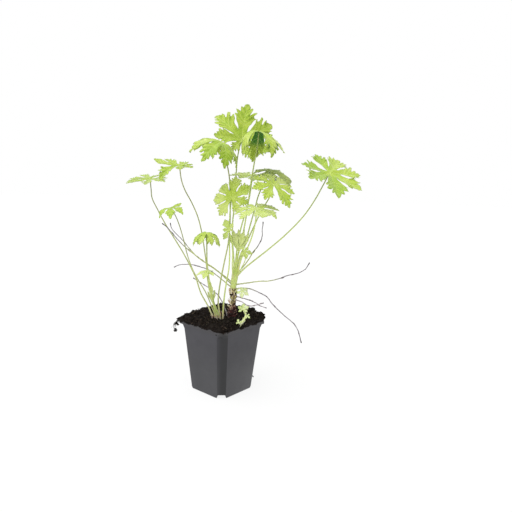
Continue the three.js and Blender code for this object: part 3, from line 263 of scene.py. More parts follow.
DRY_STALKS = {
    "dry_stalk_right_rising": [[18, -1.4, 156], [43, -6, 161], [66, -10, 164], [83, -13, 169], [95, -15, 174],
                               [110, -17, 179], [118, -19, 186], [122, -20, 194]],
    "dry_stalk_right_falling": [[17, -1.6, 150], [37, -7, 151], [51, -10, 147], [64, -13, 141],
                                [71, -15, 132], [81, -18, 122], [94, -21, 112], [104, -24, 104],
                                [109, -27, 95], [114, -30, 80]],
    "dry_stalk_upright": [[19, 2.4, 171], [34, 8, 187], [48, 15, 209], [55, 19, 222], [55, 22, 234],
                          [56, 25, 246]],
    "dry_stalk_low_right": [[16.5, 2, 138], [41, 15, 129], [56, 25, 118], [65, 30, 114]],
    "dry_stalk_right_arch": [[17, -1.5, 134], [29, -2, 130], [37, -1, 125], [48, 2, 125], [60, 5, 128]],
    "dry_stalk_left_front": [[13, -1.6, 156], [-9, -4, 176], [-25, -7, 187], [-39, -8, 198], [-51, -10, 208],
                             [-64, -12, 220], [-79, -12, 238], [-86, -13, 243]],
    "dry_stalk_left_back": [[14, 2.2, 158], [-13, 9, 175], [-35, 13, 189], [-50, 17, 202], [-65, 20, 219],
                            [-79, 24, 233], [-81, 25, 241]],
    "dry_stalk_left_level": [[13.4, 2.2, 150], [-9, 13, 165], [-26, 21, 174], [-50, 30, 178], [-67, 36, 177],
                             [-78, 40, 172]],
    "dry_stalk_left_low": [[5, 3, 100], [6, 5, 109], [-1, 13, 125], [-9, 20, 135], [-28, 33, 146],
                           [-49, 45, 155]],
}
DRY_THICK = [1.7, 1.2]
SOIL_LEVEL = 100  # a stalk whose foot is lower than this comes up through the soil
# How far out each dry stalk is still green, as a share of its length.
ALIVE = {"dry_stalk_right_rising": 0.5, "dry_stalk_upright": 0.5, "dry_stalk_left_front": 0.66,
         "dry_stalk_left_back": 0.66, "dry_stalk_left_level": 0.3, "dry_stalk_right_falling": 0.16}
FADED = ("dry_stalk_low_right", "dry_stalk_right_arch")


# ---- Small tools ----

def plant(points):
    """Points or directions of the plant, [across, back, up], in the pot's axes."""
    p = np.asarray(points, float)
    c, s = math.cos(PLANT_TURN), math.sin(PLANT_TURN)
    return np.stack([p[..., 0] * c - p[..., 1] * s, p[..., 0] * s + p[..., 1] * c, p[..., 2]], -1)


def unit(v):
    return v / np.maximum(np.linalg.norm(v, axis=-1, keepdims=True), 1e-12)


def lerp(start, end, share):
    return start + (end - start) * share


def hump(off, width):
    """1 where off is 0, falling away smoothly over a width on both sides."""
    return np.exp(-((off / width) ** 2))


def curve(knots, per_part):
    """A centripetal Catmull-Rom curve through knots, with per_part points from each knot to the next."""
    k = np.asarray(knots, float)
    p = np.vstack([2 * k[0] - k[1], k, 2 * k[-1] - k[-2]])
    t = (np.arange(per_part) / per_part)[:, None]
    parts = []
    for a, b, c, d in zip(p[:-3], p[1:-2], p[2:-1], p[3:]):
        before, own, after = (max(np.linalg.norm(v), 1e-6) ** 0.5 for v in (b - a, c - b, d - c))
        start = own * ((b - a) / before - (c - a) / (before + own) + (c - b) / own)
        end = own * ((c - b) / own - (d - b) / (own + after) + (d - c) / after)
        square, cube = 3 * (c - b) - 2 * start - end, 2 * (b - c) + start + end
        parts.append(b + start * t + square * t**2 + cube * t**3)
    return np.vstack([*parts, k[-1:]])


def evenly(line, step):
    """The same line, with points a step apart."""
    length = np.concatenate([[0], np.cumsum(np.linalg.norm(np.diff(line, axis=0), axis=1))])
    at = np.linspace(0, length[-1], max(4, int(length[-1] / step) + 1))
    return np.stack([np.interp(at, length, line[:, i]) for i in range(line.shape[1])], -1), at


def rough(points, size, seed=0.0, octaves=3):
    """Smooth random height from about -1 to 1 at each point, with lumps of a size."""
    shift = Vector((seed, 0, 0))
    return np.array([noise.fractal(Vector(p) / size + shift, 1.0, 2.0, octaves) for p in points])


def scene_object(name, data):
    made = bpy.data.objects.new(name, data)
    bpy.context.scene.collection.objects.link(made)
    return made


class Build:
    """Points, faces and values at the points, gathered for one piece."""

    def __init__(self, *names):
        self.count = 0
        self.points, self.faces, self.kinds, self.smooth = [], [], [], []
        self.values = {name: [] for name in names}

    def add_faces(self, faces, first, kind=0, smooth=True):
        """Faces with corners counted from a first point. kind is the number of their material."""
        self.faces.append(np.asarray(faces, int) + first)
        self.kinds.append(np.full(len(faces), kind))
        self.smooth.append(np.full(len(faces), smooth))

    def add(self, points, faces, kind=0, smooth=True, **values):
        """faces is one array, or a list of them, of corners counted from the first of these points."""
        points = np.asarray(points, float)
        for block in faces if isinstance(faces, list) else [faces]:
            self.add_faces(block, self.count, kind, smooth)
        self.points.append(points)
        for name, store in self.values.items():
            store.append(np.broadcast_to(np.asarray(values.get(name, 0.0), float), (len(points),)))
        self.count += len(points)

    def add_tube(self, line, radii, sides, flutes=None, kind=0, **values):
        """A tube whose values are given for each point of its line."""
        points, faces, turn = tube(line, radii, sides, flutes)
        for name, value in values.items():
            if np.ndim(value):
                values[name] = np.concatenate([np.repeat(value, sides), value[[0, -1]]])
        self.add(points, faces, kind, turn=turn, height=points[:, 2], **values)

    def mesh(self, name, materials):
        mesh = bpy.data.meshes.new(name)
        points = np.concatenate(self.points) * MM
        loops = np.concatenate([f.ravel() for f in self.faces])
        sizes = np.concatenate([np.full(len(f), f.shape[1]) for f in self.faces])
        mesh.vertices.add(len(points))
        mesh.vertices.foreach_set("co", points.ravel())
        mesh.loops.add(len(loops))
        mesh.loops.foreach_set("vertex_index", loops)
        mesh.polygons.add(len(sizes))
        mesh.polygons.foreach_set("loop_start", np.concatenate([[0], np.cumsum(sizes)[:-1]]))
        mesh.polygons.foreach_set("material_index", np.concatenate(self.kinds))
        mesh.polygons.foreach_set("use_smooth", np.concatenate(self.smooth))
        for label, store in self.values.items():
            layer = mesh.attributes.new(label, "FLOAT", "POINT")
            layer.data.foreach_set("value", np.concatenate(store).astype(np.float32))
        mesh.update(calc_edges=True)
        mesh.validate()
        for material in materials:
            mesh.materials.append(material)
        return mesh

    def piece(self, name, materials, slot, *nodes):
        """Makes the object, which rides on the one body and stands for CAD nodes."""
        made = scene_object(name, self.mesh(name, materials))
        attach(made, "root")
        if nodes:
            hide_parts(*nodes)


def grid_faces(rows, columns, closed=False):
    """Quads of a grid of points, whose columns may join up into rings."""
    across = columns if closed else columns - 1
    r, c = np.meshgrid(np.arange(rows - 1), np.arange(across), indexing="ij")
    a = (r * columns + c).ravel()
    b = (r * columns + (c + 1) % columns).ravel()
    return np.stack([a, b, b + columns, a + columns], -1)


def tube(line, radii, sides, flutes=None):
    """A tube along a line of points. Returns points, faces, and each point's turn round the line."""
    tangents = unit(np.gradient(line, axis=0))
    side = unit(np.cross(tangents[0], [0.31, 0.87, 0.39]))
    rings = []
    turn = 2 * np.pi * np.arange(sides) / sides
    for i, (middle, tangent) in enumerate(zip(line, tangents)):
        side = unit(side - tangent * (side @ tangent))
        other = np.cross(tangent, side)
        radius = radii[i] * (1 if flutes is None else flutes(turn, i))
        ring = np.cos(turn)[:, None] * side + np.sin(turn)[:, None] * other
        rings.append(middle + ring * np.broadcast_to(radius, sides)[:, None])
    points = np.vstack([*rings, line[:1], line[-1:]])
    count = len(line)
    first, last = count * sides, count * sides + 1
    ring = np.arange(sides)
    after = (ring + 1) % sides
    start = np.stack([np.full(sides, first), after, ring], -1)
    end = np.stack([np.full(sides, last), (count - 1) * sides + ring, (count - 1) * sides + after], -1)
    turns = np.concatenate([np.tile(turn, count), [0, 0]])
    return points, [grid_faces(count, sides, True), np.vstack([start, end])], turns


# ---- Materials ----

class Nodes:
    """A material's node tree, with short calls for what is used here."""

    def __init__(self, name):
        self.material = bpy.data.materials.new(name)
        self.material.use_nodes = True
        self.tree = self.material.node_tree
        self.shader = self.tree.nodes["Principled BSDF"]

    def make(self, kind, **inputs):
        node = self.tree.nodes.new(kind)
        for name, value in inputs.items():
            self.put(node.inputs[name.replace("_", " ")], value)
        return node

    def put(self, socket, value):
        if isinstance(value, bpy.types.NodeSocket):
            self.tree.links.new(value, socket)
        else:
            socket.default_value = value

    def value(self, name):
        """The value that the mesh keeps at its points under a name."""
        node = self.tree.nodes.new("ShaderNodeAttribute")
        node.attribute_name = name
        return node.outputs["Fac"]

    def place(self):
        return self.tree.nodes.new("ShaderNodeTexCoord").outputs["Object"]

    def math(self, how, a, b=0.0, c=0.0):
        node = self.tree.nodes.new("ShaderNodeMath")
        node.operation = how
        for socket, value in zip(node.inputs, (a, b, c)):
            self.put(socket, value)
        return node.outputs[0]

    def ramp(self, value, low, high, start=0.0, end=1.0):
        """Start below low, end above high, and a smooth change between."""
        node = self.make("ShaderNodeMapRange", Value=value, From_Min=low, From_Max=high, To_Min=start,
                         To_Max=end)
        node.interpolation_type = "SMOOTHSTEP"
        return node.outputs[0]

    def length(self, vector):
        node = self.tree.nodes.new("ShaderNodeVectorMath")
        node.operation = "LENGTH"
        self.put(node.inputs[0], vector)
        return node.outputs["Value"]

    def mix(self, share, a, b):
        node = self.tree.nodes.new("ShaderNodeMix")
        node.data_type = "RGBA"
        self.put(node.inputs["Factor"], share)
        self.put(node.inputs[6], a)
        self.put(node.inputs[7], b)
        return node.outputs[2]

    def noise(self, scale, detail=3.0, roughness=0.5, where=None):
        node = self.make("ShaderNodeTexNoise", Scale=scale, Detail=detail, Roughness=roughness)
        self.put(node.inputs["Vector"], where or self.place())
        return node.outputs["Fac"]

    def cells(self, scale, where=None, feature="DISTANCE_TO_EDGE"):
        node = self.tree.nodes.new("ShaderNodeTexVoronoi")
        node.feature = feature
        node.inputs["Scale"].default_value = scale
        self.put(node.inputs["Vector"], where or self.place())
        return node.outputs[0]

    def bump(self, height, strength, distance, under=None):
        node = self.make("ShaderNodeBump", Height=height, Strength=strength, Distance=distance * MM)
        if under is not None:
            self.put(node.inputs["Normal"], under)
        return node.outputs[0]

    def finish(self, color, roughness, normal=None, **constants):
        self.put(self.shader.inputs["Base Color"], color)
        self.put(self.shader.inputs["Roughness"], roughness)
        if normal is not None:
            self.put(self.shader.inputs["Normal"], normal)
        for name, value in constants.items():
            self.shader.inputs[name.replace("_", " ")].default_value = value
        return self.material


def srgb(r, g, b):
    """A colour given in 0 to 255 as a screen shows it."""
    def one(v):
        v /= 255
        return v / 12.92 if v <= 0.04045 else ((v + 0.055) / 1.055) ** 2.4

    return one(r), one(g), one(b), 1.0


def leaf_material(name, deep, fresh, pale, vein, under):
    """Upper face deep green through fresh to pale, with paler veins and a dull rim; lower face matt."""
    n = Nodes(name)
    flat = n.make("ShaderNodeCombineXYZ", X=n.value("flat_x"), Y=n.value("flat_y")).outputs[0]
    below = n.value("below")
    rib = n.ramp(n.value("off_rib"), 0.15, 0.8, 1.0, 0.0)
    count = n.value("vein")
    off_vein = n.math("PINGPONG", count, 0.5)
    side_vein = n.math("MULTIPLY", n.ramp(off_vein, 0.02, 0.13, 1.0, 0.0), n.ramp(count, 0.55, 0.9))
    net = n.ramp(n.cells(0.5, flat), 0.0, 0.08, 1.0, 0.0)
    veins = n.math("MAXIMUM", rib, n.math("MAXIMUM", n.math("MULTIPLY", side_vein, 0.7),
                                          n.math("MULTIPLY", net, 0.14)))
    tone = n.math("ADD", n.value("tone"), n.math("MULTIPLY_ADD", n.noise(0.06, 2.0, 0.5, flat), 1.6, -0.8))
    green = n.mix(n.ramp(tone, -0.9, 0.0), deep, n.mix(n.ramp(tone, 0.0, 0.9), fresh, pale))
    green = n.mix(n.math("MULTIPLY", veins, 0.38), green, vein)
    green = n.mix(n.ramp(n.value("off_edge"), 0.1, 1.7, 0.45, 0.0), green, srgb(124, 140, 74))
    from_hub = n.length(flat)
    shadow = n.math("MULTIPLY", n.value("shadow"), n.ramp(from_hub, 34, 46, 1.0, 0.0))
    lower = n.mix(n.ramp(from_hub, 6, 40), under, fresh)
    lower = n.mix(shadow, lower, srgb(66, 126, 36))
    color = n.mix(below, green, n.mix(n.math("MULTIPLY", veins, 0.3), lower, vein))
    relief = n.math("ADD", n.math("MULTIPLY", n.math("MAXIMUM", rib, side_vein), -1.0),
                    n.math("MULTIPLY", net, -0.15))
    normal = n.bump(relief, 0.3, 0.3)
    normal = n.bump(n.noise(1.2, 2.0, 0.5, flat), 0.05, 0.2, normal)
    rough_share = n.math("MULTIPLY_ADD", n.noise(0.5, 2.0, 0.5, flat), 0.12, 0.42)
    return n.finish(color, n.math("MULTIPLY_ADD", below, 0.25, rough_share), normal,
                    Subsurface_Weight=0.15, Subsurface_Radius=(0.9, 1.0, 0.25), Subsurface_Scale=0.0006,
                    Specular_IOR_Level=0.4, Sheen_Weight=0.3, Sheen_Roughness=0.4,
                    Sheen_Tint=(0.95, 1.0, 0.92, 1.0))


def stalk_material(name, foot, middle, top):
    """Leaf stalks: foot colour in the lowest part, then one green to another, with fine lengthwise lines."""
    n = Nodes(name)
    share = n.value("share")
    color = n.mix(n.ramp(share, 0.03, 0.22), foot, n.mix(n.ramp(share, 0.3, 0.95), middle, top))
    lines = n.math("MULTIPLY_ADD", n.math("SINE", n.math("MULTIPLY", n.value("turn"), 5.0)), 0.5, 0.5)
    color = n.mix(n.math("MULTIPLY", lines, 0.18), color, top)
    color = n.mix(n.ramp(n.noise(90, 3.0), 0.45, 0.75, 0.0, 0.3), color, foot)
    normal = n.bump(lines, 0.3, 0.2, n.bump(n.noise(1800, 3.0), 0.2, 0.15))
    return n.finish(color, 0.5, normal, Subsurface_Weight=0.45, Subsurface_Radius=(0.9, 1.0, 0.35),
                    Subsurface_Scale=0.0015, Sheen_Weight=0.4, Sheen_Roughness=0.4, Specular_IOR_Level=0.4)


def dry_material():
    """Bare dead stalks: green where they still live, then grey with streaks, nearly black at the tips."""
    n = Nodes("dry_stalks")
    share = n.value("share")
    streaks = n.noise(240, 4.0)
    grey = n.mix(n.ramp(streaks, 0.35, 0.65), srgb(158, 152, 156), srgb(108, 101, 106))
    green = n.mix(n.ramp(streaks, 0.3, 0.7), srgb(196, 202, 136), srgb(158, 168, 98))
    grey = n.mix(n.value("faded"), grey,
                 n.mix(n.ramp(streaks, 0.35, 0.65), srgb(204, 194, 200), srgb(160, 148, 152)))
    color = n.mix(n.value("alive"), grey, green)
    color = n.mix(n.ramp(share, 0.9, 1.0, 0.0, 0.75), color, srgb(56, 48, 52))
    color = n.mix(n.ramp(n.value("knot"), 0.2, 0.8, 0.0, 0.4), color, srgb(84, 70, 68))
    return n.finish(color, 0.7, n.bump(n.noise(900, 3.0), 0.5, 0.3))


def soil_material():
    """Damp dark peat: nearly black crumbs, some brown, a few of a paler greyish brown."""
    n = Nodes("peat_soil")
    tone = n.value("tone")
    grain = n.noise(900, 5.0, 0.65)
    dark = n.mix(n.ramp(grain, 0.35, 0.7), srgb(11, 8, 7), srgb(34, 26, 20))
    color = n.mix(n.ramp(tone, 0.55, 1.1), dark, srgb(58, 47, 39))
    color = n.mix(n.ramp(tone, 1.4, 1.6), color,
                  n.mix(n.noise(300, 2.0), srgb(76, 64, 52), srgb(104, 94, 80)))
    rough_share = n.ramp(n.noise(220, 2.0), 0.3, 0.7, 0.65, 0.95)
    return n.finish(color, rough_share, n.bump(grain, 0.9, 0.8, n.bump(n.cells(500), 0.5, 0.6)),
                    Specular_IOR_Level=0.12)


def sheath_material():
    """Papery sheaths at the feet of stalks: cream, pinkish and brown in patches."""
    n = Nodes("papery_sheath")
    patches = n.noise(260, 3.0, 0.6)
    cream = n.mix(n.ramp(n.noise(700, 3.0), 0.35, 0.65), srgb(236, 226, 196), srgb(218, 206, 166))
    color = n.mix(n.ramp(patches, 0.5, 0.62), cream, srgb(214, 172, 158))
    color = n.mix(n.ramp(n.value("share"), 0.8, 1.0, 0.0, 0.6), color, srgb(140, 104, 78))
    return n.finish(color, 0.7, n.bump(n.noise(1200, 3.0), 0.3, 0.2), Subsurface_Weight=0.3,
                    Subsurface_Radius=(1.0, 0.8, 0.5), Subsurface_Scale=0.001, Specular_IOR_Level=0.3)


def bark_material():
    """Dark red-brown bark, nearly black in places, with yellowish patches and paler papery rims."""
    n = Nodes("rootstock_bark")
    grain = n.noise(420, 5.0, 0.65)
    patches = n.noise(170, 3.0, 0.6)
    height = n.value("height")
    color = n.mix(n.ramp(grain, 0.32, 0.68), srgb(34, 15, 16), srgb(88, 44, 42))
    color = n.mix(n.ramp(patches, 0.36, 0.5, 0.7, 0.0), color, srgb(16, 11, 9))
    yellow = n.math("MULTIPLY", n.ramp(patches, 0.45, 0.53), n.ramp(height, 123, 136))
    color = n.mix(yellow, color, n.mix(n.ramp(grain, 0.3, 0.7), srgb(160, 146, 88), srgb(216, 206, 146)))
    color = n.mix(n.ramp(n.value("paper"), 0.1, 0.9, 0.0, 0.85), color, srgb(208, 170, 150))
    normal = n.bump(grain, 0.9, 0.8, n.bump(n.cells(260), 0.6, 0.6))
    return n.finish(color, n.ramp(grain, 0.3, 0.7, 0.55, 0.9), normal, Specular_IOR_Level=0.25)


def plastic_material():
    """Matt dark moulded plastic with dust, dull scuffs and scratches, darker and bluer towards the top;
    painted light low on one side, and painted shade down its bevelled corners.
    """
    n = Nodes("pot_plastic")
    place = n.place()
    dust = n.ramp(n.noise(55, 5.0, 0.6, place), 0.4, 0.72)
    axes = n.make("ShaderNodeSeparateXYZ", Vector=place).outputs
    up = axes["Z"]
    color = n.mix(n.math("MULTIPLY", dust, 0.35), srgb(44, 44, 48), srgb(64, 64, 66))
    color = n.mix(n.ramp(n.noise(24, 2.0, 0.5, place), 0.35, 0.65, 0.0, 0.42), color, srgb(60, 60, 64))
    color = n.mix(n.ramp(up, 0.03, 0.085, 0.0, 0.5), color, srgb(43, 41, 50))
    # Painted light, low down on the pot's +y half.
    painted_low_right_light = n.math("MULTIPLY", n.ramp(axes["Y"], -0.03, 0.035), n.ramp(up, 0.0, 0.075, 1.0, 0.0))
    color = n.mix(n.math("MULTIPLY", painted_low_right_light, 0.8), color, srgb(78, 78, 80))
    # Painted shade down the bevels of the corners where x + y is near 0, fading in on one side and ending
    # crisply.
    edge = n.math("MULTIPLY_ADD", up, BEVEL_SPREAD, BEVEL_FOOT)
    across = n.math("DIVIDE", n.math("ADD", axes["X"], axes["Y"]), edge)
    painted_bevel_shade = n.math("MULTIPLY", n.ramp(across, -1.5, 0.1), n.ramp(across, 0.97, 1.04, 1.0, 0.0))
    color = n.mix(n.math("MULTIPLY", painted_bevel_shade, 0.9), color, srgb(19, 20, 22))
    color = n.mix(n.ramp(up, 0.093, 0.102, 0.0, 0.3), color, srgb(70, 66, 62))
    specks = n.ramp(n.cells(260, place, "F1"), 0.06, 0.12, 0.4, 0.0)
    color = n.mix(n.math("MULTIPLY", specks, n.ramp(n.noise(38, 2.0, 0.5, place), 0.55, 0.7)), color,
                  srgb(110, 104, 96))
    stretched = n.make("ShaderNodeMapping", Vector=place, Scale=(1.0, 1.0, 0.12)).outputs[0]
    lines = n.noise(700, 2.0, 0.5, stretched)
    rough_share = n.math("MULTIPLY_ADD", dust, 0.2, 0.34)
    normal = n.bump(n.noise(1400, 3.0, 0.6, place), 0.12, 0.12, n.bump(lines, 0.08, 0.1))
    return n.finish(color, rough_share, normal, Specular_IOR_Level=0.5)


# Slot of each look of a blade, then its colours: deep, fresh, pale, veins, and the lower face near the stalk.
LEAF_COLORS = {
    "fresh": ["leaf_fresh_green",
              (140, 171, 34), (165, 188, 58), (190, 205, 110), (194, 207, 116), (138, 168, 52)],
    "pale": ["leaf_pale_green",
             (156, 180, 66), (180, 198, 100), (202, 212, 138), (206, 214, 146), (170, 190, 112)],
    "shade": ["leaf_shaded_green",
              (92, 118, 26), (124, 144, 50), (160, 174, 90), (164, 178, 96), (112, 138, 48)],
    "wan": ["leaf_pale_green",
            (172, 194, 108), (194, 210, 140), (212, 222, 166), (218, 224, 176), (186, 202, 136)],
}
# Colours of each look of a stalk: foot, middle, top.
STALK_COLORS = {
    "fresh": [(212, 222, 148), (196, 208, 128), (150, 164, 86)],
    "pale": [(216, 212, 150), (204, 218, 134), (188, 206, 110)],
    "thin": [(222, 216, 168), (176, 186, 118), (146, 152, 98)],
    "wan": [(226, 220, 178), (214, 222, 164), (206, 216, 150)],
}
LEAF_FINISH = {name: (leaf_material("leaf_" + name, *(srgb(*color) for color in colors)), slot)
               for name, (slot, *colors) in LEAF_COLORS.items()}
STALK_FINISH = {name: stalk_material("stalk_" + name, *(srgb(*color) for color in colors))
                for name, colors in STALK_COLORS.items()}
STALK_FINISH["shade"] = STALK_FINISH["fresh"]
DRY = dry_material()
PEAT = soil_material()
BARK = bark_material()
SHEATH = sheath_material()
PLASTIC = plastic_material()


# ---- Leaves ----

EDGE_WANDER = 0.011  # spread of the random shift of each point of a lobe's edge, as a share of the lobe
INNER_ROWS = 6  # from the hub to where the lobes part
ROWS_PER_KNOT = 2
AWAY_FROM_EDGE = 9.0  # distance to the edge that stands for none near
STRAIGHT = 1e-5  # the least curl, in radians per mm, so that nothing is divided by 0
RIB_DEPTH, RIB_WIDTH = 0.34, 0.9
VEIN_DEPTH, VEIN_WIDTH = 0.2, 0.16  # the width is a share of the distance from vein to vein
RIM_WIDTH, RIM_WAVE = 3.2, 0.75
SWELL_HEIGHT, SWELL_SIZE = 0.8, 11.0
TIP_LIFT = 1.5
LAYER_GAP = 1.1


def half_lobe(leaf, start, draw):
    """Half a lobe's rows, from the hub to the tip: the edge's [along, out], and the place on the midrib."""
    knots = np.array(EDGE[leaf["lobes"]])
    wander = draw.normal(0, EDGE_WANDER, (len(knots), 2))
    wander[-1] = 0
    knots[:, :2] += wander
    inner = np.linspace(0, 1, INNER_ROWS + 1)[:-1, None] * start
    outer = curve(np.vstack([start, knots]), ROWS_PER_KNOT)
    on_rib = np.concatenate([start[2:], knots[:, 2]])
    outer[:, 2] = np.interp(np.arange(len(outer)) / ROWS_PER_KNOT, np.arange(len(on_rib)), on_rib)
    return np.vstack([inner, outer])


def flat_blade(leaf, draw):
    """The flat blade's points, its triangles, and what its material reads at each point."""
    spread, size = leaf["spread"], leaf["size"]
    slim = spread * leaf["slim"]
    reach = leaf.get("reach") or [1] * leaf["lobes"]
    lobes = [(math.radians(a * spread), share * size * r)
             for (a, share), r in zip(LOBES[leaf["lobes"]], reach)]
    heel = np.array([-HEEL * size, 0])
    sinuses = [heel]
    for (a, la), (b, lb) in zip(lobes[:-1], lobes[1:]):
        middle = (a + b) / 2
        sinuses.append(SINUS * (la + lb) / 2 * np.array([math.cos(middle), math.sin(middle)]))
    sinuses.append(heel)
    share = (np.arange(COLUMNS + 1) / COLUMNS) ** 0.9
    blocks, quads, first = [], [], 0
    for index, (angle, length) in enumerate(lobes):
        c, s = math.cos(angle), math.sin(angle)
        for side, base in ((1, sinuses[index + 1]), (-1, sinuses[index])):
            along = (base[0] * c + base[1] * s) / length
            out = (base[1] * c - base[0] * s) / (length * slim * side)
            rows = half_lobe(leaf, np.array([along, out, SINUS]), draw)
            edge = rows[:, None, :2] * share[:, None]
            rib = rows[:, None, 2:3] * (1 - share[:, None]) * np.array([1.0, 0.0])
            place = (edge + rib) * length
            place[..., 1] *= side * slim
            x = place[..., 0] * c - place[..., 1] * s
            y = place[..., 0] * s + place[..., 1] * c
            width = np.hypot(rows[:, 0] - rows[:, 2], rows[:, 1])[:, None] * length
            veins = np.interp(rows[:, 2], *VEINS[leaf["lobes"]])[:, None]
            to_edge = np.where(rows[:, 2:3] <= SINUS, AWAY_FROM_EDGE, width * (1 - share))
            blocks.append(np.stack([x, y, np.abs(place[..., 1]), np.broadcast_to(veins, x.shape), to_edge,
                                    np.full(x.shape, float(index)), width * share], -1).reshape(-1, 7))
            faces = grid_faces(len(rows), COLUMNS + 1)
            quads.append((faces[:, ::-1] if side > 0 else faces) + first)
            first += x.size
    values = np.vstack(blocks)
    quads = np.vstack(quads)
    _, keep, same = np.unique(np.round(values[:, :2], 4), axis=0, return_index=True, return_inverse=True)
    triangles = same.reshape(-1)[np.vstack([quads[:, [0, 1, 2]], quads[:, [0, 2, 3]]])]
    whole = (triangles[:, 0] != triangles[:, 1]) & (triangles[:, 1] != triangles[:, 2]) & (
        triangles[:, 0] != triangles[:, 2])
    return values[keep], triangles[whole], lobes


def bend(flat, lobes, leaf):
    """Bends the flat blade: each ray droops on an arc, and each lobe is folded along its midrib."""
    up = unit(plant(leaf["faces"]))
    along = plant(leaf["points"])
    along = unit(along - up * (along @ up))
    left = np.cross(up, along)
    angle = np.arctan2(flat[:, 1], flat[:, 0])
    distance = np.hypot(flat[:, 0], flat[:, 1])
    every, tipward, leftward = leaf["droop"]
    own = np.interp(angle, [a for a, _ in lobes], leaf.get("lobe_droop") or [0] * len(lobes))
    droop = every + tipward * np.cos(angle) + leftward * np.sin(angle) + own
    curl = np.radians(droop) / leaf["size"]
    curl = np.where(np.abs(curl) < STRAIGHT, STRAIGHT, curl)
    off_rib = np.min([2 * np.abs(np.sin((angle - a) / 2)) for a, _ in lobes], axis=0)
    reach = np.sin(curl * distance) / curl
    rise = leaf["fold"] * distance * np.minimum(off_rib, 0.5) - (1 - np.cos(curl * distance)) / curl
    return (plant(leaf["hub"]) + (reach * np.cos(angle))[:, None] * along
            + (reach * np.sin(angle))[:, None] * left + rise[:, None] * up)


def point_normals(points, triangles):
    """The way that the surface faces at each point, each triangle counting by its area."""
    a, b, c = (points[triangles[:, i]] for i in range(3))
    face = np.cross(b - a, c - a)
    total = np.zeros_like(points)
    for i in range(3):
        np.add.at(total, triangles[:, i], face)
    return unit(total)


def blade(build, leaf, draw):
    """A leaf's blade: bent, waved and dented, with an upper face, a lower face and a rim between them."""
    values, triangles, lobes = flat_blade(leaf, draw)
    flat_x, flat_y, off_rib, vein, off_edge, lobe, out = values.T
    number = lobe.astype(int)
    size, scale = leaf["size"], leaf["size"] / BLADE_SIZE
    distance = np.hypot(flat_x, flat_y)
    middle = bend(values[:, :2], lobes, leaf)
    normals = point_normals(middle, triangles)
    side_vein = VEIN_DEPTH * hump(np.abs(vein - np.round(vein)), VEIN_WIDTH) * np.minimum(out / 2, 1)
    sunk = RIB_DEPTH * hump(off_rib, RIB_WIDTH) + side_vein
    rim = np.exp(-off_edge / (RIM_WIDTH * scale))
    phase = draw.uniform(0, 6.3, len(lobes))[number]
    wave = RIM_WAVE * scale * rim * np.sin(2 * np.pi * vein * 0.9 + phase + 2 * np.sign(flat_y))
    tips = draw.normal(0, TIP_LIFT, len(lobes))[number] * scale * (distance / size) ** 3
    flat = np.stack([flat_x, flat_y, lobe * 0], -1)
    swell = SWELL_HEIGHT * scale * rough(flat, SWELL_SIZE, leaf["hub"][0], 2)
    # The lobes of a folded young leaf lie over one another, every other one in front.
    in_front = (lobe % 2 - 0.5) * np.clip(3 * distance / size - 0.4, 0, 1) * (leaf["spread"] < FOLDED)
    lift = wave + tips + swell + LAYER_GAP * in_front - sunk * min(1, scale + 0.2)
    middle = middle + normals * lift[:, None]
    normals = point_normals(middle, triangles)
    half = BLADE_THICK / 2 * (1 - 0.45 * np.exp(-off_edge / 0.5))[:, None]
    angle = np.arctan2(flat_y, flat_x)
    # Painted light: each lobe is made paler for the sheen on it, or deeper green for the light through it.
    drawn = draw.uniform(-0.55, 0.55, len(lobes))
    painted_lobe_light = np.interp(angle, [a for a, _ in lobes], leaf["lobe_tone"] or drawn)
    # Painted light along the side veins and painted shade in the hollows between them.
    painted_vein_light = 0.3 * np.cos(2 * np.pi * vein) * np.minimum(out / 3, 1)
    tone = leaf["tone"] + painted_lobe_light * np.minimum(1, 2 * distance / size) + painted_vein_light
    shared = {"flat_x": flat_x, "flat_y": flat_y, "off_rib": off_rib, "vein": vein,
              "off_edge": off_edge / min(1, scale), "tone": tone}
    both = {name: np.concatenate([v, v]) for name, v in shared.items()}
    count, start = len(middle), build.count
    both["below"] = np.repeat([0.0, 1.0], count)
    both["shadow"] = leaf.get("shadow", 0)
    build.add(np.vstack([middle + normals * half, middle - normals * half]),
              [triangles, triangles[:, ::-1] + count], **both)
    # The rim runs along each edge that only one triangle has.
    edges = np.vstack([triangles[:, [0, 1]], triangles[:, [1, 2]], triangles[:, [2, 0]]])
    code = edges[:, 0] * count + edges[:, 1]
    back = edges[:, 1] * count + edges[:, 0]
    a, b = edges[~np.isin(code, back)].T
    build.add_faces(np.stack([b, a, a + count, b + count], -1), start, smooth=False)


def sheet(build, foot, way, radius, turn, width, length, flare, thick=0.22, kind=0, **values):
    """A thin pointed scale that hugs a round stem: its foot at a place on the stem, its tip curled away."""
    way = unit(np.asarray(way, float))
    side = unit(np.cross(way, plant([0, 1, 0])))
    back = np.cross(side, way)
    rows, columns = 8, 5
    t = np.linspace(0, 1, rows)[:, None]
    half = 0.5 * width * (1 - t**1.7) * (0.8 + 0.6 * t * (1 - t)) / (radius + 0.3)
    angle = turn + half * np.linspace(-1, 1, columns)
    lift = radius - 0.1 + 0.3 * t + flare * t**2.5
    spine = np.asarray(foot, float) + way * (length * (t - 0.2 * t**3))
    out = np.cos(angle)[..., None] * side + np.sin(angle)[..., None] * -back
    outer = (spine[:, None] + out * lift[..., None]).reshape(-1, 3)
    inner = outer - (out * thick).reshape(-1, 3)
    count = rows * columns
    left, right = np.arange(rows) * columns, np.arange(rows) * columns + columns - 1
    rim = np.concatenate([left[::-1], np.arange(1, columns), right[1:], count - 1 - np.arange(1, columns)])
    faces = grid_faces(rows, columns)
    edge = np.stack([rim[:-1], rim[1:], rim[1:] + count, rim[:-1] + count], -1)
    share = np.tile(np.repeat(t[:, 0], columns), 2)
    build.add(np.vstack([outer, inner]), [faces, faces[:, ::-1] + count, edge], kind, share=share,
              paper=0.3 + 0.7 * share, **values)


HAIRS_PER_RING = 3
HAIR_RADIUS = 0.05


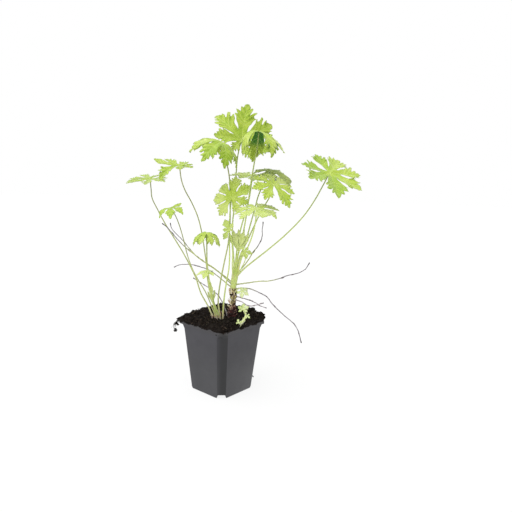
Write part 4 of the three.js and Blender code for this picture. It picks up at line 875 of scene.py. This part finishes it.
def hairs(build, line, radii, share, draw):
    """Fine hairs that stand off a stalk."""
    count = HAIRS_PER_RING * len(line)
    spot = draw.randint(1, len(line) - 1, count)
    along = unit(line[spot + 1] - line[spot - 1])
    out = draw.normal(size=(count, 3))
    out = unit(out - along * np.sum(out * along, -1, keepdims=True))
    side = np.cross(along, out)
    foot = line[spot] + along * draw.uniform(-1.1, 1.1, (count, 1)) + out * radii[spot, None] * 0.9
    tip = foot + out * draw.uniform(0.6, 1.3, (count, 1)) + along * draw.uniform(-0.4, 0.1, (count, 1))
    corners = [foot + HAIR_RADIUS * (math.cos(a) * side + math.sin(a) * along) for a in (0, 2.1, 4.2)]
    points = np.stack([*corners, tip], 1).reshape(-1, 3)
    one = np.array([[0, 1, 3], [1, 2, 3], [2, 0, 3], [2, 1, 0]])
    faces = (one[None] + 4 * np.arange(count)[:, None, None]).reshape(-1, 3)
    build.add(points, faces, 1, share=np.repeat(share[spot], 4))


def at_level(line, level):
    """The place at a height on a line that rises."""
    return np.array([np.interp(level, line[:, 2], part) for part in line.T])


def petiole(build, leaf, draw):
    """A leaf's stalk, thicker at its foot and under the blade, with hairs; sheaths at a foot in the soil."""
    under_blade = plant(leaf["hub"]) - 0.55 * unit(plant(leaf["faces"]))
    line, at = evenly(curve(np.vstack([plant(leaf["stalk"]), under_blade]), 12), 2.2)
    share = at / at[-1]
    radii = lerp(*leaf["thick"], share) / 2
    radii = radii * (1 + 0.28 * np.exp(-at / 9)) * (1 + 0.3 * hump(at[-1] - at - 2.2, 1.6))
    radii[-1] *= 0.55
    build.add_tube(line, radii, 10, kind=1, share=share)
    hairs(build, line, radii, share, draw)
    if leaf["stalk"][0][2] < SOIL_LEVEL:
        for i in range(5):
            level = draw.uniform(103, 107)
            foot = at_level(line[:20], level)
            way = at_level(line[:20], level + 8) - foot
            sheet(build, foot, way, radii[4], 1.9 * i + draw.uniform(0, 1), draw.uniform(2.4, 4),
                  draw.uniform(6, 15), draw.uniform(0.4, 1.8), kind=1 if leaf["finish"] == "wan" else 2)


LEAF_VALUES = ("flat_x", "flat_y", "off_rib", "vein", "off_edge", "tone", "below", "shadow", "share", "turn")
# What a leaf on the stalk of another takes over from it.
TAKEN_OVER = ("droop", "fold", "finish", "spread", "slim", "tone", "lobe_tone")


def frond(name, leaf, seed):
    """One piece: a leaf with its stalk, and the leaves that share the stalk."""
    draw = np.random.RandomState(seed)
    build = Build(*LEAF_VALUES)
    shared = {key: leaf[key] for key in TAKEN_OVER}
    for one in [leaf, *({**shared, **SIDE_LEAF, **own} for own in leaf.get("side", []))]:
        blade(build, one, draw)
        petiole(build, one, draw)
    finish, slot = LEAF_FINISH[leaf["finish"]]
    stalks = STALK_FINISH[leaf.get("stalk_finish", leaf["finish"])]
    build.piece(name + "_leaf", [finish, stalks, SHEATH], slot, name)


for number, (name, leaf) in enumerate(FRONDS.items()):
    frond(name, leaf, 100 + number)


# ---- Dry stalks ----

def dry_stalk(name, knots, seed):
    """A bare stalk with small kinks, three knots and a thicker end."""
    draw = np.random.RandomState(seed)
    line, at = evenly(curve(plant(knots), 12), 1.6)
    share = at / at[-1]
    kink = np.cumsum(draw.normal(0, 0.16, line.shape), axis=0)
    kink -= share[:, None] * kink[-1]
    line = line + np.clip(kink, -0.8, 0.8) * np.minimum(1, at / 12)[:, None]
    joints = draw.uniform(0.35, 0.9, 3)
    knot = sum(hump((share - j) * at[-1], 1.8) for j in joints)
    radii = lerp(*DRY_THICK, share) / 2 * (1 + 0.45 * knot) * (1 + 0.3 * np.exp(-at / 6))
    radii *= 1 + 0.4 * hump(at[-1] - at - 1.5, 2.5)
    alive = np.clip((ALIVE.get(name, 0) - share) / 0.2 + 0.5, 0, 1) * min(1, 5 * ALIVE.get(name, 0))
    points, faces, _ = tube(line, radii, 8)
    build = Build("share", "knot", "alive", "faded")
    build.add(points, faces, share=np.concatenate([np.repeat(share, 8), [0, 1]]),
              knot=np.concatenate([np.repeat(knot, 8), [0, 0]]),
              alive=np.concatenate([np.repeat(alive, 8), alive[[0, -1]]]), faded=float(name in FADED))
    build.piece(name + "_dead", [DRY], "dry_stalk", name)


for number, (name, knots) in enumerate(DRY_STALKS.items()):
    dry_stalk(name, knots, 300 + number)


# ---- Soil ----

HEAP_SIDES = 240
SOIL_SLACK = 0.7  # between the pot's walls and the soil, both sides together
GOLDEN_ANGLE = 2.39996  # from each large crumb round to the next, which spreads them evenly
LARGE_CRUMBS, MIDDLE_CRUMBS, SMALL_CRUMBS = 44, 430, 2100
LIP_CRUMBS = 620
WALL_CRUMBS = 22
FIBRES = 190
HANGING_FIBRES, HANGING_CRUMBS = 17, 70
STRAW = 1.7  # tone of the palest crumbs and fibres; other tones run from 0, nearly black, to 1.1, brown
STRAW_SHARE = 0.035
# From the pot's middle out to the bevel of its corners: at the foot, and how much more at the lip.
BEVEL_OUT, BEVEL_OUT_MORE = 43.3, 13.1
STRAY_CRUMB = [47, 2, 15.5]  # low on the pot's right wall
# Lumps spilt over the lip at the left corner: [across, back, up, size].
SPILL = [[-57.5, -6, 102.4, 5.0], [-55.4, 5.5, 102.5, 4.8], [-59.8, -0.6, 101.4, 4.8], [-51, -11, 103, 4.2]]
CRUMBS_PER_SPILL = 26
HANGING = [[-54, -3, 105], [-61, -4, 104], [-66, -5, 98.5], [-68.5, -5.5, 92], [-67.5, -6, 85]]
CLUMPS = [0.05, 0.22, 0.3, 0.5, 0.55, 0.86, 0.9]  # where crumbs gather, as shares of the hanging fibres


def lumpiness(x, y):
    """Rough up-and-down of the soil, from about -1 to 1, smooth over a few millimetres."""
    return (0.45 * np.sin(0.19 * x + 1.1) * np.cos(0.23 * y - 0.4) + 0.35 * np.sin(0.41 * x - 0.37 * y)
            + 0.3 * np.sin(0.71 * y + 0.33 * x + 2.0))


def soil_reach(angle):
    """How far the heaped soil reaches from the middle of the pot, in a given direction."""
    c, s = np.abs(np.cos(angle)), np.abs(np.sin(angle))
    to_side = POT["lip_width"] / 2 / np.maximum(c, s)
    to_corner = (POT["lip_width"] - POT["lip_corner"]) / (c + s)
    return np.minimum(to_side, to_corner)


def heap_top(x, y, rise):
    """Height of the heap's upper face, rise being its share of the heap's height at that place."""
    corner = POT["lip_width"] / math.sqrt(2)
    right, back = plant([[1, 0, 0], [0, 1, 0]])[:, :2]
    rightward = x * right[0] + y * right[1]
    backward = x * back[0] + y * back[1]
    tilt = (SOIL["back_rise"] * backward + SOIL["right_rise"] * rightward) / corner
    uneven = np.minimum(1, 2 * rise) * (tilt + SOIL["lumps"] * lumpiness(x, y))
    return POT["height"] + SOIL["over_lip"] + rise * SOIL["height"] + uneven


def on_heap(share, angle):
    """A place on the heap's surface, at a share of the way from its middle to its edge."""
    reach = soil_reach(angle) * share
    x, y = reach * math.cos(angle), reach * math.sin(angle)
    rise = np.interp(share, *zip(*HEAP[:0:-1]))
    return np.array([x, y, float(heap_top(x, y, rise))])


def ico(level):
    """Points and triangles of a ball of triangles, of radius 1."""
    ball = bmesh.new()
    bmesh.ops.create_icosphere(ball, subdivisions=level, radius=1)
    points = np.array([v.co for v in ball.verts])
    faces = np.array([[v.index for v in f.verts] for f in ball.faces])
    ball.free()
    return points, faces


def turned(points, draw):
    """The same points, turned at random."""
    q, _ = np.linalg.qr(draw.normal(size=(3, 3)))
    q *= np.sign(np.linalg.det(q))
    return points @ q.T


def heap(build):
    """The heap's rough skin, from under its edge over the ridge to the middle."""
    profile = curve(HEAP, 6)
    angle = 2 * np.pi * np.arange(HEAP_SIDES) / HEAP_SIDES
    rings = []
    for share, rise in profile:
        edge = (0.024 * np.sin(5 * angle + 0.8) + 0.018 * np.sin(11 * angle)
                + 0.012 * np.sin(17 * angle + share * 9))
        reach = soil_reach(angle) * (share + edge * min(1, share * 2))
        x, y = reach * np.cos(angle), reach * np.sin(angle)
        rings.append(np.stack([x, y, heap_top(x, y, rise)], -1))
    points = np.vstack(rings)
    away = unit(points - np.array([0, 0, POT["height"] - 30]))
    inside = np.repeat(np.clip(profile[:, 1] / 0.3, 0, 1), HEAP_SIDES)
    points += away * (inside * (1.5 * rough(points, 5.0, 3.0, 4) + 0.5 * rough(points, 1.7, 9.0, 2)))[:, None]
    middle = points[-HEAP_SIDES:].mean(axis=0)
    points = np.vstack([points[:-HEAP_SIDES], middle])
    rows = len(profile) - 1
    last = np.arange(HEAP_SIDES) + (rows - 1) * HEAP_SIDES
    cap = np.stack([last, np.roll(last, -1), np.full(HEAP_SIDES, rows * HEAP_SIDES)], -1)
    build.add(points, [grid_faces(rows, HEAP_SIDES, True), cap], tone=0.25 + 0.5 * rough(points, 3.0, 5.0, 2))


def column(build):
    """The soil inside the pot, plain because the pot and the heap hide it."""
    def ring(z):
        share = z / POT["height"]
        width = lerp(POT["floor_width"], POT["top_width"], share) - 2 * POT["wall"] - SOIL_SLACK
        far = width / 2
        near = far - lerp(POT["floor_corner"], POT["top_corner"], share)
        return [[x, y, z] for x, y in ((far, -near), (far, near), (near, far), (-near, far), (-far, near),
                                       (-far, -near), (-near, -far), (near, -far))]

    heights = np.linspace(8, POT["height"] + 0.6, 14)
    points = np.array([ring(z) for z in heights]).reshape(-1, 3)
    around = np.arange(8)[None]
    faces = [grid_faces(len(heights), 8, True), around[:, ::-1], around + len(points) - 8]
    build.add(points, faces, tone=0.3)


def crumbs(build, draw):
    """Loose crumbs on the heap, along the lip, on the pot's wall and on its left corner."""
    balls = {level: ico(level) for level in (1, 2, 3)}

    def crumb(where, size, level, tone):
        points, faces = balls[level]
        shape = points * (1 + 0.28 * rough(points, 0.9, float(draw.uniform(0, 99)), 2))[:, None]
        shape = turned(shape * draw.uniform([0.75, 0.6, 0.5], [1.35, 1.1, 0.9]), draw)
        build.add(where + shape * size, faces, smooth=level > 1, tone=tone)

    for i in range(LARGE_CRUMBS):
        angle = i * GOLDEN_ANGLE + 0.4 * draw.uniform()
        share = draw.uniform(0.9, 0.99) if i % 2 == 0 else 0.25 + 0.65 * math.sqrt(draw.uniform())
        size = draw.uniform(2.2, 4.6)
        crumb(on_heap(share, angle) + [0, 0, 0.25 * size - 0.6], size, 3, draw.uniform(0, 0.7))
    # Every third crumb lies near the lip, and the others are spread over the heap.
    for i in range(MIDDLE_CRUMBS):
        angle = draw.uniform(0, 2 * math.pi)
        share = draw.uniform(0.86, 1.02) if i % 3 == 0 else math.sqrt(draw.uniform(0.02, 1))
        size = 0.9 + 1.6 * draw.uniform() ** 2
        crumb(on_heap(share, angle) + [0, 0, 0.3 * size], size, 2, draw.uniform(0, 1))
    for i in range(SMALL_CRUMBS):
        angle = draw.uniform(0, 2 * math.pi)
        share = draw.uniform(0.86, 1.03) if i % 3 == 0 else math.sqrt(draw.uniform(0.01, 1))
        size = 0.35 + 0.75 * draw.uniform() ** 2
        where = on_heap(share, angle) + [0, 0, draw.uniform(0.3, 1.6)]
        crumb(where, size, 1, STRAW if draw.uniform() < STRAW_SHARE else draw.uniform(0, 1))
    for _ in range(LIP_CRUMBS):
        angle = draw.uniform(-math.pi, 0.5)
        size = 0.5 + 1.1 * draw.uniform() ** 2
        ragged = 0.5 + 0.5 * math.sin(7 * angle) * math.sin(17 * angle + 1)
        where = on_heap(1 + draw.uniform(-0.012, 0.006), angle)
        where[2] = POT["height"] + SOIL["over_lip"] + 0.6 - draw.uniform(0, 0.5 + 2.3 * ragged)
        crumb(where, size, 1 if size < 0.8 else 2, draw.uniform(0, 0.8))
    for _ in range(WALL_CRUMBS):
        up = draw.uniform(92, 99)
        bevel = BEVEL_OUT + BEVEL_OUT_MORE * up / POT["height"]
        where = plant([draw.normal(0.5, 1.8), -bevel - 0.1, up])
        crumb(where, draw.uniform(0.3, 0.9), 1, draw.uniform(0, 0.8))
    crumb(plant(STRAY_CRUMB), 1.4, 2, 0.4)
    for *place, size in SPILL:
        where = plant(place)
        crumb(where, size, 3, 0.3)
        for _ in range(CRUMBS_PER_SPILL):
            spot = where + unit(draw.normal(size=3)) * size * 0.95
            crumb(spot, draw.uniform(0.5, 1.5), 1, draw.uniform(0, 1))


def fibres(build, draw):
    """Peat fibres and splinters that lie on the soil and stick out of it."""
    for _ in range(FIBRES):
        start = on_heap(math.sqrt(draw.uniform(0.05, 1.02)), draw.uniform(0, 2 * math.pi))
        way = unit(draw.normal(size=3) * [1, 1, 0.35])
        length = draw.uniform(3, 12)
        knots = [start + way * length * share + draw.normal(0, 0.09 * length, 3) * [1, 1, 0.5]
                 for share in (0, 0.35, 0.7, 1)]
        line, at = evenly(curve(np.array(knots) + [0, 0, 1.0], 4), length / 7)
        radii = draw.uniform(0.14, 0.42) * (1 - 0.6 * (at / at[-1]) ** 2)
        build.add_tube(line, radii, 5, tone=draw.choice([0.3, 0.9, STRAW], p=[0.45, 0.35, 0.2]))


def hanging(build, draw):
    """Fibre and crumbs that hang over the pot's left corner."""
    spine = curve(plant(HANGING), 8)
    for i in range(HANGING_FIBRES):
        end = draw.uniform(0.4, 1)
        part = spine[: max(8, int(len(spine) * end))]
        drift = draw.normal(0, 2, 3)
        wander = rough(part + 40.0 * i, 6.0, float(i), 2)
        share = np.linspace(0, 1, len(part))
        line = part + drift * (0.4 + share)[:, None] + np.outer(wander, unit(draw.normal(size=3))) * 1.5
        radii = draw.uniform(0.25, 0.55) * (1 - 0.75 * share)
        build.add_tube(line, radii, 5, tone=draw.uniform(0.1, 1.0))
    ball, faces = ico(1)
    for i in range(HANGING_CRUMBS):
        clump = CLUMPS[i % len(CLUMPS)] + draw.uniform(0, 0.06)
        spot = spine[int(clump * len(spine))] + draw.normal(0, 1.3, 3)
        points = turned(ball * draw.uniform([0.8, 0.6, 0.5], [1.4, 1, 0.9]), draw)
        build.add(spot + points * draw.uniform(0.5, 1.9), faces, smooth=False, tone=draw.uniform(0, 0.9))


soil_draw = np.random.RandomState(41)
ground = Build("tone")
column(ground)
heap(ground)
crumbs(ground, soil_draw)
fibres(ground, soil_draw)
hanging(ground, soil_draw)
ground.piece("soil_heap", [PEAT], "potting_soil", "soil")


# ---- Rootstock and shoot ----

def rootstock():
    """The woody rootstock with its side branch, roots, scales, peeling sheaths and knobs."""
    draw = np.random.RandomState(7)
    build = Build("height", "paper", "share")
    rings = curve(ROOTSTOCK, 9)

    def knobs(turn, i):
        around = np.stack([np.cos(turn) * 5, np.sin(turn) * 5, np.full(len(turn), rings[i, 2])], -1)
        return 1 + 0.24 * rough(around, 4.5, 2.0, 2) + 0.1 * rough(around, 1.6, 8.0, 2)

    def ridges(turn, i):
        return 1 + 0.12 * np.sin(3 * turn + i * 0.9) + 0.06 * np.sin(7 * turn - i)

    build.add_tube(plant(rings[:, :3]), rings[:, 3] / 2, 36, knobs)
    line, at = evenly(curve(plant(BRANCH), 8), 1.5)
    build.add_tube(line, 5.5 - 2 * at / at[-1], 20, ridges)
    for i, tip in enumerate(ROOTS):
        start = plant([12.5, 0.5, 74 + 3 * i])
        end = plant(tip)
        line, at = evenly(curve([start, (start + end) / 2 + [0, 0, 4], end], 8), 2.5)
        build.add_tube(line, 1.6 - 0.9 * at / at[-1], 8)
    heights = [row[2] for row in ROOTSTOCK]

    def scale(up, turn, width, length, flare, kind):
        across, back, _, thick = (np.interp(up, heights, part) for part in zip(*ROOTSTOCK))
        sheet(build, plant([across, back, up]), [0, 0, 1], thick / 2, turn, width, length, flare, kind=kind,
              height=up)

    for low, high, count in BARK_SCALES:
        for _ in range(count):
            scale(draw.uniform(low, high), draw.uniform(0, 2 * math.pi), draw.uniform(3, 6),
                  draw.uniform(4, 9), draw.uniform(0.6, 2.4), 0)
    for _ in range(PAPER_SCALES):
        scale(draw.uniform(134, 144), draw.uniform(-1.2, 1.5), draw.uniform(3, 5.5), draw.uniform(5, 11),
              draw.uniform(0.4, 2.4), 1)
    for up, turn, length, flare in PEELING:
        scale(up, turn, PEELING_WIDTH, length, flare, 1)
    for *foot, across, up, width, length in FLAGS:
        sheet(build, plant(foot), plant([across, 0, up]), 1.2, math.pi / 2, width, length, 0.8, kind=1,
              height=foot[2])
    ball, faces = ico(3)
    for *middle, size in LUMPS:
        shape = ball * (1 + 0.25 * rough(ball, 0.9, size, 2))[:, None] * size
        build.add(plant(middle) + shape, faces, height=middle[2])
    build.piece("rootstock_wood", [BARK, SHEATH], "rootstock_bark", "rootstock")


def shoot():
    """The pale fluted shoot on the rootstock, rounded at its top."""
    line, at = evenly(curve(plant(SHOOT), 10), 0.8)
    share = at / at[-1]
    radii = lerp(*SHOOT_THICK, share) / 2 * (1 - 0.35 * np.clip((share - 0.86) / 0.14, 0, 1) ** 2)

    def flutes(turn, i):
        return 0.94 + 0.13 * np.abs(np.sin(3.5 * turn + 0.02 * i)) ** 0.7

    build = Build("share", "turn")
    build.add_tube(line, radii, 56, flutes, share=share)
    build.piece("shoot_stem", [STALK_FINISH["pale"]], "leaf_base_green", "shoot")


rootstock()
shoot()


# ---- Pot ----

def pot():
    """The CAD node itself: its flat faces joined, its edges rounded, and the plastic on it."""
    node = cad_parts["pot"]
    weld = node.modifiers.new("weld", "WELD")
    weld.merge_threshold = 0.02 * MM
    flat = node.modifiers.new("flat", "DECIMATE")
    flat.decimate_type = "DISSOLVE"
    flat.angle_limit = math.radians(1)
    soft = node.modifiers.new("soft", "BEVEL")
    soft.width = 0.9 * MM
    soft.segments = 3
    soft.limit_method = "ANGLE"
    soft.angle_limit = math.radians(20)
    soft.harden_normals = True
    for slot in node.material_slots:
        slot.material = PLASTIC


pot()


# ---- Floor, light and camera ----

FLOOR_RINGS = (200, 600, 2000, 9000)
FLOOR_SIDES = 96
AMBIENT = 0.85  # strength of the white world as a light; the camera sees it at strength 1
# azimuth: from the pot's front side round to the right; across and height: the point that the camera looks
# at, right of the pot's middle and up from its foot; distance: from that point to the camera; focal_pixels
# and image_pixels: focal length and width of the picture, both in its pixels.
CAMERA = {
    "azimuth": math.radians(40.79),
    "elevation": math.radians(8.41),
    "roll": math.radians(1.49),
    "distance": 700,
    "across": 46.81,
    "height": 198.38,
    "focal_pixels": 485.93,
    "image_pixels": 512,
}


def floor():
    """A wide disc that is about as white as the background and takes the shadow."""
    n = Nodes("pale_floor")
    color = n.mix(n.noise(3, 2.0), (0.11, 0.11, 0.11, 1), (0.13, 0.13, 0.13, 1))
    material = n.finish(color, 0.9, Specular_IOR_Level=0.0, Emission_Color=(1.0, 1.0, 1.0, 1.0),
                        Emission_Strength=0.86)
    side = np.arange(FLOOR_SIDES)
    turn = 2 * np.pi * side / FLOOR_SIDES
    ring = np.stack([np.cos(turn), np.sin(turn), turn * 0], -1)
    points = np.vstack([ring * r for r in FLOOR_RINGS] + [np.zeros((1, 3))])
    rings = grid_faces(len(FLOOR_RINGS), FLOOR_SIDES, True)[:, ::-1]
    middle = np.stack([np.full(FLOOR_SIDES, len(points) - 1), side, (side + 1) % FLOOR_SIDES], -1)
    build = Build()
    build.add(points, [rings, middle], smooth=False)
    made = scene_object("floor", build.mesh("floor", [material]))


def sun_light(name, way, softness, strength):
    """A broad light from far away. softness is the angle that it fills, in degrees."""
    light = bpy.data.lights.new(name, "SUN")
    light.angle = math.radians(softness)
    light.energy = strength
    made = scene_object(name, light)
    made.rotation_euler = Vector(way).to_track_quat("Z", "Y").to_euler()


def camera():
    """The camera that was fitted to the pot in the photograph."""
    a, e, roll = CAMERA["azimuth"], CAMERA["elevation"], CAMERA["roll"]
    back = Vector((math.sin(a) * math.cos(e), -math.cos(a) * math.cos(e), math.sin(e)))
    right = Vector((math.cos(a), math.sin(a), 0))
    up = back.cross(right)
    tilted_right = right * math.cos(roll) + up * math.sin(roll)
    tilted_up = up * math.cos(roll) - right * math.sin(roll)
    target = right * CAMERA["across"] + Vector((0, 0, CAMERA["height"]))
    place = (target + back * CAMERA["distance"]) * MM
    data = bpy.data.cameras.new("camera")
    data.sensor_width = 36
    data.lens = CAMERA["focal_pixels"] / CAMERA["image_pixels"] * data.sensor_width
    data.clip_start = 0.01
    made = scene_object("camera", data)
    made.matrix_world = Matrix((
        (tilted_right.x, tilted_up.x, back.x, place.x),
        (tilted_right.y, tilted_up.y, back.y, place.y),
        (tilted_right.z, tilted_up.z, back.z, place.z),
        (0, 0, 0, 1)))
    bpy.context.scene.camera = made


def studio():
    """Soft white light from all round, and a white background."""
    world = bpy.data.worlds.new("studio")
    world.use_nodes = True
    tree = world.node_tree
    background = tree.nodes["Background"]
    background.inputs["Color"].default_value = (1, 1, 1, 1)
    path = tree.nodes.new("ShaderNodeLightPath")
    seen = tree.nodes.new("ShaderNodeMath")
    seen.operation = "MULTIPLY_ADD"
    tree.links.new(path.outputs["Is Camera Ray"], seen.inputs[0])
    seen.inputs[1].default_value = 1 - AMBIENT
    seen.inputs[2].default_value = AMBIENT
    tree.links.new(seen.outputs[0], background.inputs["Strength"])
    bpy.context.scene.world = world


studio()
bpy.context.scene.view_settings.view_transform = "Standard"
floor()
sun_light("sky", (-0.1, -0.35, 1.0), 55, 1.7)
sun_light("front", (0.2, -0.8, 0.35), 50, 0.55)
camera()
